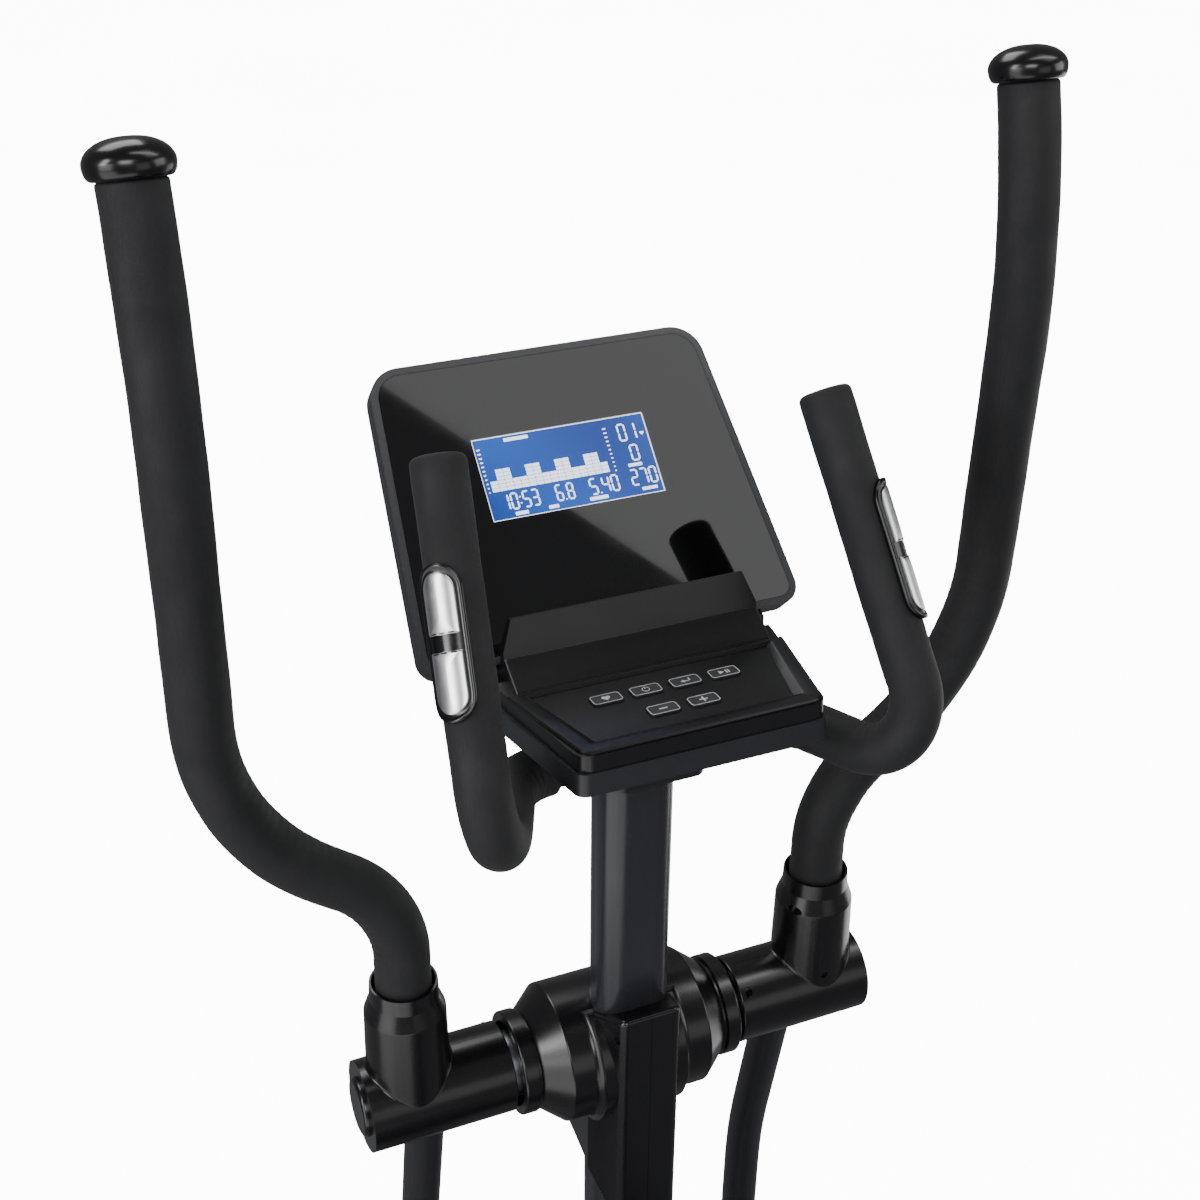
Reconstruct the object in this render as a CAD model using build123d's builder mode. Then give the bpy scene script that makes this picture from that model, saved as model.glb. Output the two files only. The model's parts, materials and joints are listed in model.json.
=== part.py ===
"""Elliptical trainer: rear crank drive, two swinging handlebars, fixed pulse bar and console."""

from build123d import *
import os
from math import asin, cos, degrees, hypot, radians, sin

os.makedirs("parts", exist_ok=True)

# ---------------------------------------------------------------- driving dimensions (mm)
# +Y is the way the user faces, +X is the user's right, +Z is up, and z = 0 is the floor.
axle_y, axle_z = 420.0, 955.0  # swing pivot axle
half_length = 690.0  # from the origin to the outermost faces, front and rear

# base frame
rail_half_width, rail_bottom, rail_top = 40.0, 68.0, 118.0
rail_wall = 3.0
stabiliser_radius, stabiliser_half_length = 30.0, 225.0
cap_radius = stabiliser_radius + 4.0
wheel_radius, wheel_reach, wheel_z = 22.0, 58.0, 25.0
front_y = half_length - wheel_radius - wheel_reach
rear_y = cap_radius - half_length
stabiliser_z = rail_bottom - stabiliser_radius - 0.5
stabiliser_bolt_x, foot_x = 25.0, 168.0

# mast
post_half_x, post_half_y, post_wall = 28.5, 25.0, 2.5
mast_y = axle_y - 19.0
mast_half_x, mast_half_y, mast_wall = 26.5, 20.5, 2.5
mast_bolt_z = axle_z + 34.0
mast_bottom, mast_top = axle_z + 23.0, axle_z + 262.0
spigot_top = axle_z + 150.0
cross_tube_radius, cross_tube_half = 17.0, 52.0
drum_radius, ring_radius, ring_end = 50.5, 37.5, 84.0
cover_half_width, cover_wall, seam_gap = 31.5, 2.2, 0.15

# swing arms and handlebars (x values are for the right side)
axle_radius, axle_half_length = 10.0, 182.5
bush_gap = 0.05
sleeve_radius, sleeve_start, sleeve_end = 22.5, 92.0, 177.0
bush_outer_radius, bush_length, bush_flange = 14.0, 28.0, 3.0
arm_x, arm_tube_radius = 142.0, 14.35
socket_x, socket_radius, socket_top = 158.0, 19.0, 97.0
handle_tube_radius, grip_radius = 16.0, 19.25
handle_top, handle_x = 661.0, 272.0
knob_radius, knob_height = 24.35, 21.8
tee_radius, tee_start, tee_end, tee_wall = 32.5, 88.6, 192.7, 3.0
tee_neck_radius, tee_rim_radius, tee_top = 28.25, 23.4, 103.0
tee_end_disc_radius, tee_end_disc_height, tee_screw_radius = 21.0, 4.0, 2.8
pivot_dy, pivot_dz = 60.0, -625.0  # lower pivot of the swing arm, from the axle
pivot_y, pivot_z = axle_y + pivot_dy, axle_z + pivot_dz

# crank and pedal arms
crank_radius = 150.0
pedal_arm_length = 900.0
crank_z = pivot_z
crank_y = pivot_y - (pedal_arm_length**2 - crank_radius**2) ** 0.5
pedal_tilt = degrees(asin(crank_radius / pedal_arm_length))
disc_radius, disc_face_x, disc_back_x = 220.0, 80.0, 65.0
boss_face_x, boss_radius = 84.0, 15.0
plate_inner_x, plate_outer_x = 88.0, 226.0
open_pivot_gap = 1.0
pin_radius = 8.0

# drive
pulley_radius, flywheel_pulley_radius = 130.0, 16.25
belt_x, belt_half_width, belt_thickness = 30.0, 7.0, 3.0
belt_gap = 0.3
flywheel_y, flywheel_z, flywheel_radius = crank_y + 290.0, 262.0, 98.0
idler_radius = 20.0
fork_x = 41.0
brake_y, brake_z = flywheel_y + flywheel_radius + 11, flywheel_z - 31
bearing_radius = 17.5
housing_half_width, housing_wall = 60.0, 2.5

# console: the display plane leans back, the keypad deck is nearly level
display_origin = (0, axle_y + 68.8, axle_z + 397.3)
display_normal = (0, -0.699, 0.715)
display_thickness = 22.0
deck_y, deck_z = axle_y - 80.0, axle_z + 337.3
deck_normal = (0, 0.0627, 0.998)
button_size_x, button_size_y, button_gap = 20.0, 11.0, 0.35

# fixed handlebar
bar_radius, bar_grip_radius = 12.7, 16.7
bar_y, bar_z = axle_y - 44.0, axle_z + 279.5

display_plane = Plane(origin=display_origin, x_dir=(1, 0, 0), z_dir=display_normal)
deck_plane = Plane(origin=(0, deck_y, deck_z), x_dir=(1, 0, 0), z_dir=deck_normal)


# ---------------------------------------------------------------- helpers
def save(piece, name):
    """Label one finished piece and write its STEP file."""
    piece.label = name
    export_step(piece, f"parts/{name}.step")


def rod_x(y, z, radius, x_low, x_high, mode=Mode.ADD):
    """A round bar along X, added to the part being built."""
    with Locations(Location(((x_low + x_high) / 2, y, z), (0, 90, 0))):
        Cylinder(radius, x_high - x_low, mode=mode)


def rod_z(x, y, radius, z_low, z_high, mode=Mode.ADD):
    """A round bar along Z, added to the part being built."""
    with Locations((x, y, (z_low + z_high) / 2)):
        Cylinder(radius, z_high - z_low, mode=mode)


def block(x_low, x_high, y_low, y_high, z_low, z_high, mode=Mode.ADD):
    """A box between six planes, added to the part being built."""
    with Locations(((x_low + x_high) / 2, (y_low + y_high) / 2, (z_low + z_high) / 2)):
        Box(x_high - x_low, y_high - y_low, z_high - z_low, mode=mode)


def pipe(path, radius, bore=0.0):
    """A round tube swept along a wire."""
    with BuildPart() as tube:
        with BuildSketch(Plane(origin=path @ 0, z_dir=path % 0)):
            Circle(radius)
            if bore:
                Circle(bore, mode=Mode.SUBTRACT)
        sweep(path=path)
    return tube.part


def both_sides(piece, name):
    """Write the right-hand piece and its mirror image, the left-hand one."""
    save(piece, f"right_{name}")
    save(mirror(piece, about=Plane.YZ), f"left_{name}")


def pair(piece):
    """A right-hand piece and its mirror image as two solids of one group."""
    return Compound(children=[*piece.solids(), *mirror(piece, about=Plane.YZ).solids()])


# ---------------------------------------------------------------- base frame
def base_rail():
    """Rectangular tube with a welded saddle over each stabiliser."""
    rail_front, rail_rear = front_y + 34, rear_y - 22
    with BuildPart() as rail:
        for y in (front_y, rear_y):
            block(-rail_half_width, rail_half_width, y - 26, y + 26, stabiliser_z + 12, rail_bottom + 1)
            saddle_bore = stabiliser_radius + 0.05
            rod_x(y, stabiliser_z, saddle_bore, -rail_half_width, rail_half_width, Mode.SUBTRACT)
        with BuildSketch(Plane.XZ.offset(-rail_front)):
            with Locations((0, (rail_bottom + rail_top) / 2)):
                RectangleRounded(2 * rail_half_width, rail_top - rail_bottom, 8)
        extrude(amount=rail_front - rail_rear)
        with BuildSketch(Plane.XZ.offset(-rail_front)):
            with Locations((0, (rail_bottom + rail_top) / 2)):
                RectangleRounded(
                    2 * (rail_half_width - rail_wall),
                    rail_top - rail_bottom - 2 * rail_wall,
                    8 - rail_wall,
                )
        extrude(amount=rail_front - rail_rear, mode=Mode.SUBTRACT)
        for x in (-stabiliser_bolt_x, stabiliser_bolt_x):
            for y in (front_y, rear_y):
                rod_z(x, y, 4, 0, rail_bottom + 4, Mode.SUBTRACT)
    return rail.part


def upright_post():
    """Welded post: oval tube, cross tube for the axle, and the spigot that the mast slides over."""
    post_top = axle_z + 20
    with BuildPart() as post:
        with BuildSketch(Plane.XY.offset(rail_top)):
            with Locations((0, mast_y)):
                RectangleRounded(2 * post_half_x, 2 * post_half_y, 18)
        extrude(amount=post_top - rail_top)
        with BuildSketch(Plane.XY.offset(post_top)):
            with Locations((0, mast_y)):
                RectangleRounded(46, 34, 14)
        extrude(amount=spigot_top - post_top)
        with BuildSketch(Plane.XY.offset(rail_top)):
            with Locations((0, mast_y)):
                RectangleRounded(2 * (post_half_x - post_wall), 2 * (post_half_y - post_wall), 15)
        extrude(amount=post_top - rail_top - post_wall, mode=Mode.SUBTRACT)
        with BuildSketch(Plane.XY.offset(post_top)):
            with Locations((0, mast_y)):
                RectangleRounded(41, 29, 12)
        extrude(amount=spigot_top - post_top, mode=Mode.SUBTRACT)
        rod_x(axle_y, axle_z, cross_tube_radius, -cross_tube_half, cross_tube_half)
        rod_x(axle_y, axle_z, axle_radius, -cross_tube_half, cross_tube_half, Mode.SUBTRACT)
        rod_x(mast_y, mast_bolt_z, 4, -mast_half_x, mast_half_x, Mode.SUBTRACT)
    return post.part


def drive_bracket():
    """Weldment on the rail: crank bearing shell, flywheel fork and axle, idler stud, brake pin."""
    floor = rail_top + 4
    idler_y, idler_z = idler_place()
    with BuildPart() as bracket:
        block(-fork_x - 4, fork_x + 4, crank_y - 34, brake_y + 36, rail_top, floor)
        block(-34, -4, crank_y - 28, crank_y + 28, floor, crank_z)
        rod_x(crank_y, crank_z, 26, -44, 16)
        rod_x(crank_y, crank_z, bearing_radius, -44, 16, Mode.SUBTRACT)
        for x_low in (-fork_x - 4, fork_x):
            with BuildSketch(Plane.YZ.offset(x_low)) as fork:
                with BuildLine():
                    Polyline(
                        (flywheel_y - 60, rail_top),
                        (flywheel_y - 18, flywheel_z + 18),
                        (flywheel_y + 18, flywheel_z + 18),
                        (flywheel_y + 60, rail_top),
                        close=True,
                    )
                make_face()
            extrude(fork.sketch, amount=4)
        rod_x(flywheel_y, flywheel_z, 6, -fork_x - 9, fork_x + 9)
        block(belt_x - 18, belt_x - 14, idler_y - 12, idler_y + 12, rail_top, idler_z + 12)
        rod_x(idler_y, idler_z, 6, belt_x - 14, belt_x + 10)
        block(-34, -30, brake_y - 12, brake_y + 12, rail_top, brake_z + 12)
        rod_x(brake_y, brake_z, 4, -30, -3)
    return bracket.part


def stabilisers():
    """Front and rear cross tubes, drilled for their bolts and for the levelling screws."""
    with BuildPart() as tubes:
        for y in (front_y, rear_y):
            rod_x(y, stabiliser_z, stabiliser_radius, -stabiliser_half_length, stabiliser_half_length)
        for y in (front_y, rear_y):
            rod_x(
                y,
                stabiliser_z,
                stabiliser_radius - 2,
                -stabiliser_half_length,
                stabiliser_half_length,
                Mode.SUBTRACT,
            )
            for x in (-stabiliser_bolt_x, stabiliser_bolt_x):
                rod_z(x, y, 4, 0, rail_bottom + 4, Mode.SUBTRACT)
        for x in (-foot_x, foot_x):
            rod_z(x, rear_y, 5 + bush_gap, 0, stabiliser_z, Mode.SUBTRACT)
    return tubes.part


def stabiliser_cap(y_mid, front):
    """End cap of a stabiliser: the front ones stand on the floor and carry the wheels."""
    x_inner, x_outer = stabiliser_half_length - 25, stabiliser_half_length + 20
    with BuildPart() as cap:
        rod_x(y_mid, stabiliser_z, cap_radius, x_inner, x_outer)
        fillet(cap.edges().group_by(Axis.X)[-1], 8)
        if front:
            block(x_inner, x_outer - 6, y_mid - 24, y_mid + 24, 0, stabiliser_z)
            for x_low in (x_inner, x_outer - 12):
                with BuildSketch(Plane.YZ.offset(x_low)) as ear:
                    with Locations((y_mid + 24, 22), (y_mid + wheel_reach, wheel_z)):
                        Circle(11)
                    make_hull()
                extrude(ear.sketch, amount=6)
            rod_x(y_mid + wheel_reach, wheel_z, 4, x_inner, x_outer - 6)
        bore = stabiliser_radius + 0.05
        rod_x(y_mid, stabiliser_z, bore, x_inner - 1, stabiliser_half_length, Mode.SUBTRACT)
    return cap.part


# ---------------------------------------------------------------- mast and covers
def mast_tube():
    bore_x, bore_y = 2 * (mast_half_x - mast_wall), 2 * (mast_half_y - mast_wall)
    with BuildPart() as mast:
        with BuildSketch(Plane.XY.offset(mast_bottom)):
            with Locations((0, mast_y)):
                RectangleRounded(2 * mast_half_x, 2 * mast_half_y, 17)
                RectangleRounded(bore_x, bore_y, 17 - mast_wall, mode=Mode.SUBTRACT)
        extrude(amount=mast_top - mast_bottom)
        rod_x(mast_y, mast_bolt_z, 4, -mast_half_x - 1, mast_half_x + 1, Mode.SUBTRACT)
    return mast.part


def cover_side(inset):
    """Side outline of the cover's column: a sloping lid and a slanted foot."""
    rear, front = axle_y - 60 + inset, axle_y + 14 - inset
    with BuildSketch(Plane.YZ) as side:
        with BuildLine():
            Polyline(
                (rear, axle_z - 138 - inset),
                (axle_y - 42, axle_z - 118 - inset),
                (axle_y - 15, axle_z - 98 - inset),
                (front, axle_z - 90 - inset),
                (front, axle_z + 47 - inset),
                (axle_y - 22, axle_z + 47 - inset),
                (rear, axle_z + 67 - inset),
                close=True,
            )
        make_face()
    return side.sketch


def cover_column(inset):
    """Narrow column round the post, flared in plan from its rear face."""
    half_rear, half_front = 22.0 - inset, cover_half_width - inset
    rear, front = axle_y - 60 + inset, axle_y + 14 - inset
    with BuildSketch(Plane.XY.offset(axle_z - 150)) as plan:
        with BuildLine():
            Polyline(
                (0, rear),
                (half_rear, rear),
                (half_front, axle_y - 22),
                (half_front, front),
                (0, front),
                close=True,
            )
        make_face()
        fillet(plan.vertices().sort_by(Axis.Y)[:2].sort_by(Axis.X)[-1], 6 - inset)
    with BuildPart() as column:
        extrude(plan.sketch, amount=230)
        extrude(cover_side(inset), amount=60, mode=Mode.INTERSECT)
        if not inset:
            lid = column.faces().sort_by(Axis.Z)[-1]
            fillet([edge for edge in lid.edges() if edge.center().X > 1], 3)
    return column.part


def cover_saddle():
    """Raised band round the drum where it leaves the column's side wall."""
    band, foot_x = 5.5, 23.0
    with BuildSketch(Plane.XY.offset(axle_z)) as profile:
        with BuildLine():
            Polyline(
                (cover_half_width, axle_y + drum_radius + band),
                (foot_x, axle_y + drum_radius + band),
                (foot_x, axle_y + drum_radius - 1),
                (cover_half_width + band, axle_y + drum_radius - 1),
                (cover_half_width + band, axle_y + drum_radius),
            )
            RadiusArc(
                (cover_half_width + band, axle_y + drum_radius),
                (cover_half_width, axle_y + drum_radius + band),
                band,
            )
        make_face()
    with BuildPart() as saddle:
        revolve(profile.sketch, axis=Axis((0, axle_y, axle_z), (1, 0, 0)))
        extrude(cover_side(0), amount=60, mode=Mode.INTERSECT)
    return saddle.part


def cover_drum():
    """Drum, cone and end ring of the hub, revolved round the axle."""
    cone_start, cone_end, groove_end = 53.0, 69.0, 72.5
    with BuildSketch(Plane.XY.offset(axle_z)) as hub:
        with BuildLine():
            Polyline(
                (0, axle_y),
                (0, axle_y + drum_radius),
                (cone_start, axle_y + drum_radius),
                (cone_end, axle_y + ring_radius - 0.5),
                (cone_end + 2, axle_y + ring_radius - 2.5),
                (groove_end, axle_y + ring_radius - 2.5),
                (groove_end + 1, axle_y + ring_radius),
                (ring_end, axle_y + ring_radius),
                (ring_end, axle_y),
                close=True,
            )
        make_face()
        fillet(hub.vertices().sort_by(Axis.Y)[-2:].sort_by(Axis.X)[-1], 2)
        fillet(hub.vertices().sort_by(Axis.X)[-2:].sort_by(Axis.Y)[-1], 1.5)
    with BuildPart() as drum:
        revolve(hub.sketch, axis=Axis((0, axle_y, axle_z), (1, 0, 0)))
    return drum.part


def mast_cover():
    """Right-hand cover shell: the column's half with its hub drum."""
    screw_radius = 3.0
    with BuildPart() as cover:
        add(cover_column(0))
        add(cover_drum())
        add(cover_saddle())
        add(cover_column(cover_wall), mode=Mode.SUBTRACT)
        rod_x(axle_y, axle_z, drum_radius - 2.5, 0, 51, Mode.SUBTRACT)
        rod_x(axle_y, axle_z, 31, 0, ring_end, Mode.SUBTRACT)
        with BuildSketch(Plane.XY.offset(axle_z)) as mast_hole:
            with Locations((0, mast_y)):
                RectangleRounded(2 * mast_half_x + 0.6, 2 * mast_half_y + 0.6, 17.3)
        extrude(mast_hole.sketch, amount=80, mode=Mode.SUBTRACT)
        with BuildSketch(Plane.XY.offset(axle_z - 150)) as post_hole:
            with Locations((0, mast_y)):
                RectangleRounded(2 * post_half_x + 0.6, 2 * post_half_y + 0.6, 18.3)
        extrude(post_hole.sketch, amount=172, mode=Mode.SUBTRACT)
        rod_x(axle_y - 54, axle_z + 46, screw_radius, 10, 40, Mode.SUBTRACT)
        block(-100, seam_gap, 0, 700, 600, 1100, Mode.SUBTRACT)
    return cover.part


# ---------------------------------------------------------------- swing arms and handlebars
def swing_arm():
    """Welded arm: axle sleeve, socket for the handlebar, lower tube and lower pivot sleeve."""
    with BuildLine() as lower:
        FilletPolyline(
            (arm_x, axle_y + 10, axle_z),
            (arm_x, axle_y + 53, axle_z - 200),
            (arm_x, pivot_y, pivot_z),
            radius=420,
        )
    lower_tube = pipe(lower.line, arm_tube_radius)
    with BuildPart() as arm:
        add(lower_tube)
        rod_x(axle_y, axle_z, sleeve_radius, sleeve_start, sleeve_end)
        rod_z(socket_x, axle_y, socket_radius, axle_z, axle_z + socket_top)
        rod_z(socket_x, axle_y, handle_tube_radius, axle_z + 25, axle_z + socket_top, Mode.SUBTRACT)
        rod_x(axle_y, axle_z, bush_outer_radius, sleeve_start, sleeve_end, Mode.SUBTRACT)
        rod_x(pivot_y, pivot_z, 20, arm_x - 18, arm_x + 18)
        rod_x(pivot_y, pivot_z, pin_radius + bush_gap, arm_x - 18, arm_x + 18, Mode.SUBTRACT)
    return arm.part


def swing_bushes():
    """Two flanged bushes pressed into the axle sleeve."""
    flange_radius = 20.0
    low, high = sleeve_start - bush_flange, sleeve_end + bush_flange
    with BuildPart() as bushes:
        rod_x(axle_y, axle_z, bush_outer_radius, sleeve_start, sleeve_start + bush_length)
        rod_x(axle_y, axle_z, bush_outer_radius, sleeve_end - bush_length, sleeve_end)
        rod_x(axle_y, axle_z, flange_radius, low, sleeve_start)
        rod_x(axle_y, axle_z, flange_radius, sleeve_end, high)
        rod_x(axle_y, axle_z, axle_radius + bush_gap, low, high, Mode.SUBTRACT)
    return bushes.part


def bushed_arm():
    """The welded arm with its two bushes, as separate solids of one group."""
    return Compound(children=[*swing_arm().solids(), *swing_bushes().solids()])


def tee_cover(front, screws):
    """Front or rear half of the shell round the T-joint; one of the two has the screw holes."""
    inner = tee_radius - tee_wall
    shoulder, rim = tee_top - 24, tee_top - 12
    with BuildPart() as tee:
        with BuildSketch(Plane.XY.offset(axle_z)) as barrel:
            with Locations(((tee_start + tee_end) / 2, axle_y + tee_radius / 2)):
                Rectangle(tee_end - tee_start, tee_radius)
            ends = barrel.vertices().group_by(Axis.Y)[-1].sort_by(Axis.X)
            fillet(ends[0], 1.2)
            fillet(ends[-1], 5)
        revolve(barrel.sketch, axis=Axis((0, axle_y, axle_z), (1, 0, 0)))
        with BuildSketch(Plane.XZ.offset(-axle_y)) as neck:
            with BuildLine():
                Polyline(
                    (socket_x, axle_z),
                    (socket_x + tee_neck_radius + 1.5, axle_z),
                    (socket_x + tee_neck_radius, axle_z + shoulder),
                    (socket_x + tee_rim_radius + 0.6, axle_z + rim),
                    (socket_x + tee_rim_radius, axle_z + tee_top),
                    (socket_x, axle_z + tee_top),
                    close=True,
                )
            make_face()
            bends = neck.vertices().sort_by(Axis.X)[-3:].sort_by(Axis.Z)
            fillet(bends[1:], 3)
        revolve(neck.sketch, axis=Axis((socket_x, axle_y, axle_z), (0, 0, 1)))
        saddle = [edge for edge in tee.edges() if 5 < edge.center().Z - axle_z < tee_radius + 1]
        fillet([edge for edge in saddle if edge.geom_type == GeomType.BSPLINE], 2)
        rod_x(axle_y, axle_z, tee_end_disc_radius, tee_end - 1, tee_end + tee_end_disc_height)
        fillet(tee.edges().group_by(Axis.X)[-1], 3)
        rod_x(axle_y, axle_z, inner, tee_start, tee_end - 7, Mode.SUBTRACT)
        rod_z(socket_x, axle_y, tee_neck_radius - tee_wall, axle_z, axle_z + tee_top - 26, Mode.SUBTRACT)
        rod_z(socket_x, axle_y, tee_rim_radius - 1.5, axle_z, axle_z + tee_top, Mode.SUBTRACT)
        with BuildSketch(Plane.XY.offset(axle_z)) as arm_hole:
            with Locations((arm_x, axle_y + 14)):
                SlotOverall(2 * arm_tube_radius + 9, 2 * arm_tube_radius + 1, rotation=90)
        extrude(arm_hole.sketch, amount=-60, mode=Mode.SUBTRACT)
        side = 1 if front else -1
        if screws:
            for x, z in ((tee_start + 7, 23), (socket_x - 3, 25), (socket_x - 23, 81)):
                with Locations(Location((x, axle_y + side * 45, axle_z + z), (90, 0, 0))):
                    Cylinder(tee_screw_radius, 90, mode=Mode.SUBTRACT)
        seam = axle_y + side * seam_gap
        low, high = sorted((seam, seam - side * 80))
        block(0, 300, low, high, axle_z - 80, axle_z + 180, Mode.SUBTRACT)
    return tee.part


def handle_path(z_start):
    """Centre line of a moving handlebar: an S-bend outwards, then an upright that nods forward."""
    first_bend, second_bend, nod_bend = 90.0, 166.0, 540.0
    with BuildLine() as path:
        FilletPolyline(
            (socket_x, axle_y, axle_z + z_start),
            (socket_x, axle_y, axle_z + 170),
            (handle_x, axle_y, axle_z + 256),
            (handle_x, axle_y - 9.4, axle_z + 575),
            (handle_x, axle_y + 14, axle_z + handle_top),
            radius=(first_bend, second_bend, nod_bend),
        )
    return path.line


def handle_tube():
    return pipe(handle_path(40), handle_tube_radius, handle_tube_radius - 1.75)


def handle_grip():
    """Foam sleeve over the whole bent tube."""
    with BuildPart() as grip:
        add(pipe(handle_path(socket_top + 1), grip_radius))
        add(pipe(handle_path(socket_top), handle_tube_radius), mode=Mode.SUBTRACT)
    return grip.part


def handle_cap():
    """Squashed-ball cap with a shank plugged into the top of the handlebar."""
    top_rounding, foot_rounding, shank_length = 13.0, 7.0, 30.0
    path = handle_path(socket_top)
    end = Plane(origin=path @ 1, x_dir=(1, 0, 0), z_dir=path % 1)
    up = Axis(end.origin, end.z_dir)
    with BuildPart() as cap:
        with BuildSketch(end) as knob:
            Circle(knob_radius)
        extrude(knob.sketch, amount=knob_height)
        fillet(cap.faces().sort_by(up)[-1].edges(), top_rounding)
        fillet(cap.faces().sort_by(up)[0].edges(), foot_rounding)
        with BuildSketch(end) as shank:
            Circle(handle_tube_radius - 2.1)
        extrude(shank.sketch, amount=-shank_length)
    return cap.part


# ---------------------------------------------------------------- crank, pedal arms, drive
def arm_frame(side):
    """Unit vectors of a pedal arm: along it to the rear, and up from it."""
    tilt = radians(pedal_tilt) * (1 if side < 0 else -1)
    along = Vector(0, -cos(tilt), sin(tilt))
    up = Vector(0, sin(tilt), cos(tilt))
    return along, up


def arm_point(side, x, distance, height):
    """A point given by its place along a pedal arm and its height above the arm's centre line."""
    along, up = arm_frame(side)
    return Vector(side * x, pivot_y, pivot_z) + along * distance + up * height


def arm_box(side, x_low, x_high, d_low, d_high, h_low, h_high, mode=Mode.ADD, rounding=0.0):
    """A box lying along a pedal arm, added to the part being built."""
    along, up = arm_frame(side)
    base = Plane(origin=arm_point(side, 0, d_low, 0), x_dir=(1, 0, 0), z_dir=along)
    up_sign = 1 if base.y_dir.dot(up) > 0 else -1
    with BuildSketch(base) as section:
        with Locations((side * (x_low + x_high) / 2, up_sign * (h_low + h_high) / 2)):
            if rounding:
                RectangleRounded(x_high - x_low, h_high - h_low, rounding)
            else:
                Rectangle(x_high - x_low, h_high - h_low)
    extrude(section.sketch, amount=d_high - d_low, mode=mode)


def pedal_arm(side):
    """Tube with a clevis at the swing-arm end and a bearing sleeve at the crank end."""
    rear = arm_point(side, arm_x, pedal_arm_length, 0)
    with BuildPart() as arm:
        arm_box(side, arm_x - 15, arm_x + 15, 62, pedal_arm_length - 18, -22, 22, rounding=6)
        arm_box(side, arm_x - 12.5, arm_x + 12.5, 64, pedal_arm_length - 24, -19.5, 19.5, Mode.SUBTRACT)
        for x_low in (arm_x - 25, arm_x + 19):
            arm_box(side, x_low, x_low + 6, 0, 90, -20, 20)
            rod_x(pivot_y, pivot_z, 20, *sorted((side * x_low, side * (x_low + 6))))
        arm_box(side, arm_x - 25, arm_x + 25, 58, 64, -20, 20)
        rod_x(rear.Y, rear.Z, 23, *sorted((side * (arm_x - 22), side * (arm_x + 22))))
        rod_x(rear.Y, rear.Z, 15, *sorted((side * (arm_x - 22), side * (arm_x + 22))), mode=Mode.SUBTRACT)
        low, high = sorted((side * (arm_x - 25), side * (arm_x + 25)))
        rod_x(pivot_y, pivot_z, pin_radius, low, high, Mode.SUBTRACT)
    return arm.part


def pedal_pins(side):
    """Lower pivot bolt, and the crank pin with its two bearings."""
    rear = arm_point(side, arm_x, pedal_arm_length, 0)
    with BuildPart() as pins:
        low, high = sorted((side * (arm_x - 25), side * (arm_x + 25)))
        rod_x(pivot_y, pivot_z, pin_radius, low, high)
        rod_x(pivot_y, pivot_z, 13, *sorted((side * (arm_x + 25), side * (arm_x + 32))))
        rod_x(pivot_y, pivot_z, 13, *sorted((side * (arm_x - 25), side * (arm_x - 32))))
        low, high = sorted((side * (boss_face_x + open_pivot_gap), side * (arm_x + 24)))
        rod_x(rear.Y, rear.Z, pin_radius, low, high)
        for x_low, x_high in ((-22, -10), (10, 22)):
            low, high = sorted((side * (arm_x + x_low), side * (arm_x + x_high)))
            rod_x(rear.Y, rear.Z, 15, low, high)
        rod_x(rear.Y, rear.Z, 17, *sorted((side * (arm_x + 22), side * (arm_x + 28))))
        collar_low = boss_face_x + open_pivot_gap
        rod_x(rear.Y, rear.Z, 14, *sorted((side * collar_low, side * (arm_x - 22))))
    return pins.part


def footplate(side):
    """Moulded footplate with a raised rim, on top of the pedal arm."""
    x_low, x_high = plate_inner_x, plate_outer_x
    start, end = 420.0, 780.0
    base = 22.3
    along, up = arm_frame(side)
    floor_plane = Plane(origin=arm_point(side, 0, 0, base), x_dir=(1, 0, 0), z_dir=up)
    sign = 1 if floor_plane.y_dir.dot(along) > 0 else -1
    middle = (side * (x_low + x_high) / 2, sign * (start + end) / 2)
    with BuildSketch(floor_plane) as outline:
        with Locations(middle):
            RectangleRounded(x_high - x_low, end - start, 45)
    with BuildSketch(floor_plane.offset(9)) as pocket:
        with Locations(middle):
            RectangleRounded(x_high - x_low - 14, end - start - 14, 38)
    with BuildPart() as plate:
        extrude(outline.sketch, amount=38)
        extrude(pocket.sketch, amount=40, mode=Mode.SUBTRACT)
        arm_box(side, x_low - 5, x_high + 5, start - 5, start + 210, base + 22, base + 60, Mode.SUBTRACT)
    return plate.part


def crank_axle():
    with BuildPart() as axle:
        rod_x(crank_y, crank_z, 10, -76, 76)
        rod_x(crank_y, crank_z, 16, 17, 21)
    return axle.part


def crank_arms():
    """Two flat arms, half a turn apart, each with a boss that faces the pedal pin."""
    with BuildPart() as arms:
        for side in (-1, 1):
            pin_z = crank_z + crank_radius * (1 if side < 0 else -1)
            with BuildSketch(Plane.YZ.offset(side * 69 - 3)) as blade:
                with Locations((crank_y, crank_z), (crank_y, pin_z)):
                    Circle(22)
                make_hull()
            extrude(blade.sketch, amount=6)
            rod_x(crank_y, pin_z, boss_radius, *sorted((side * 72, side * boss_face_x)))
            rod_x(crank_y, crank_z, 10, *sorted((side * 60, side * 76)), mode=Mode.SUBTRACT)
    return arms.part


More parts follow.
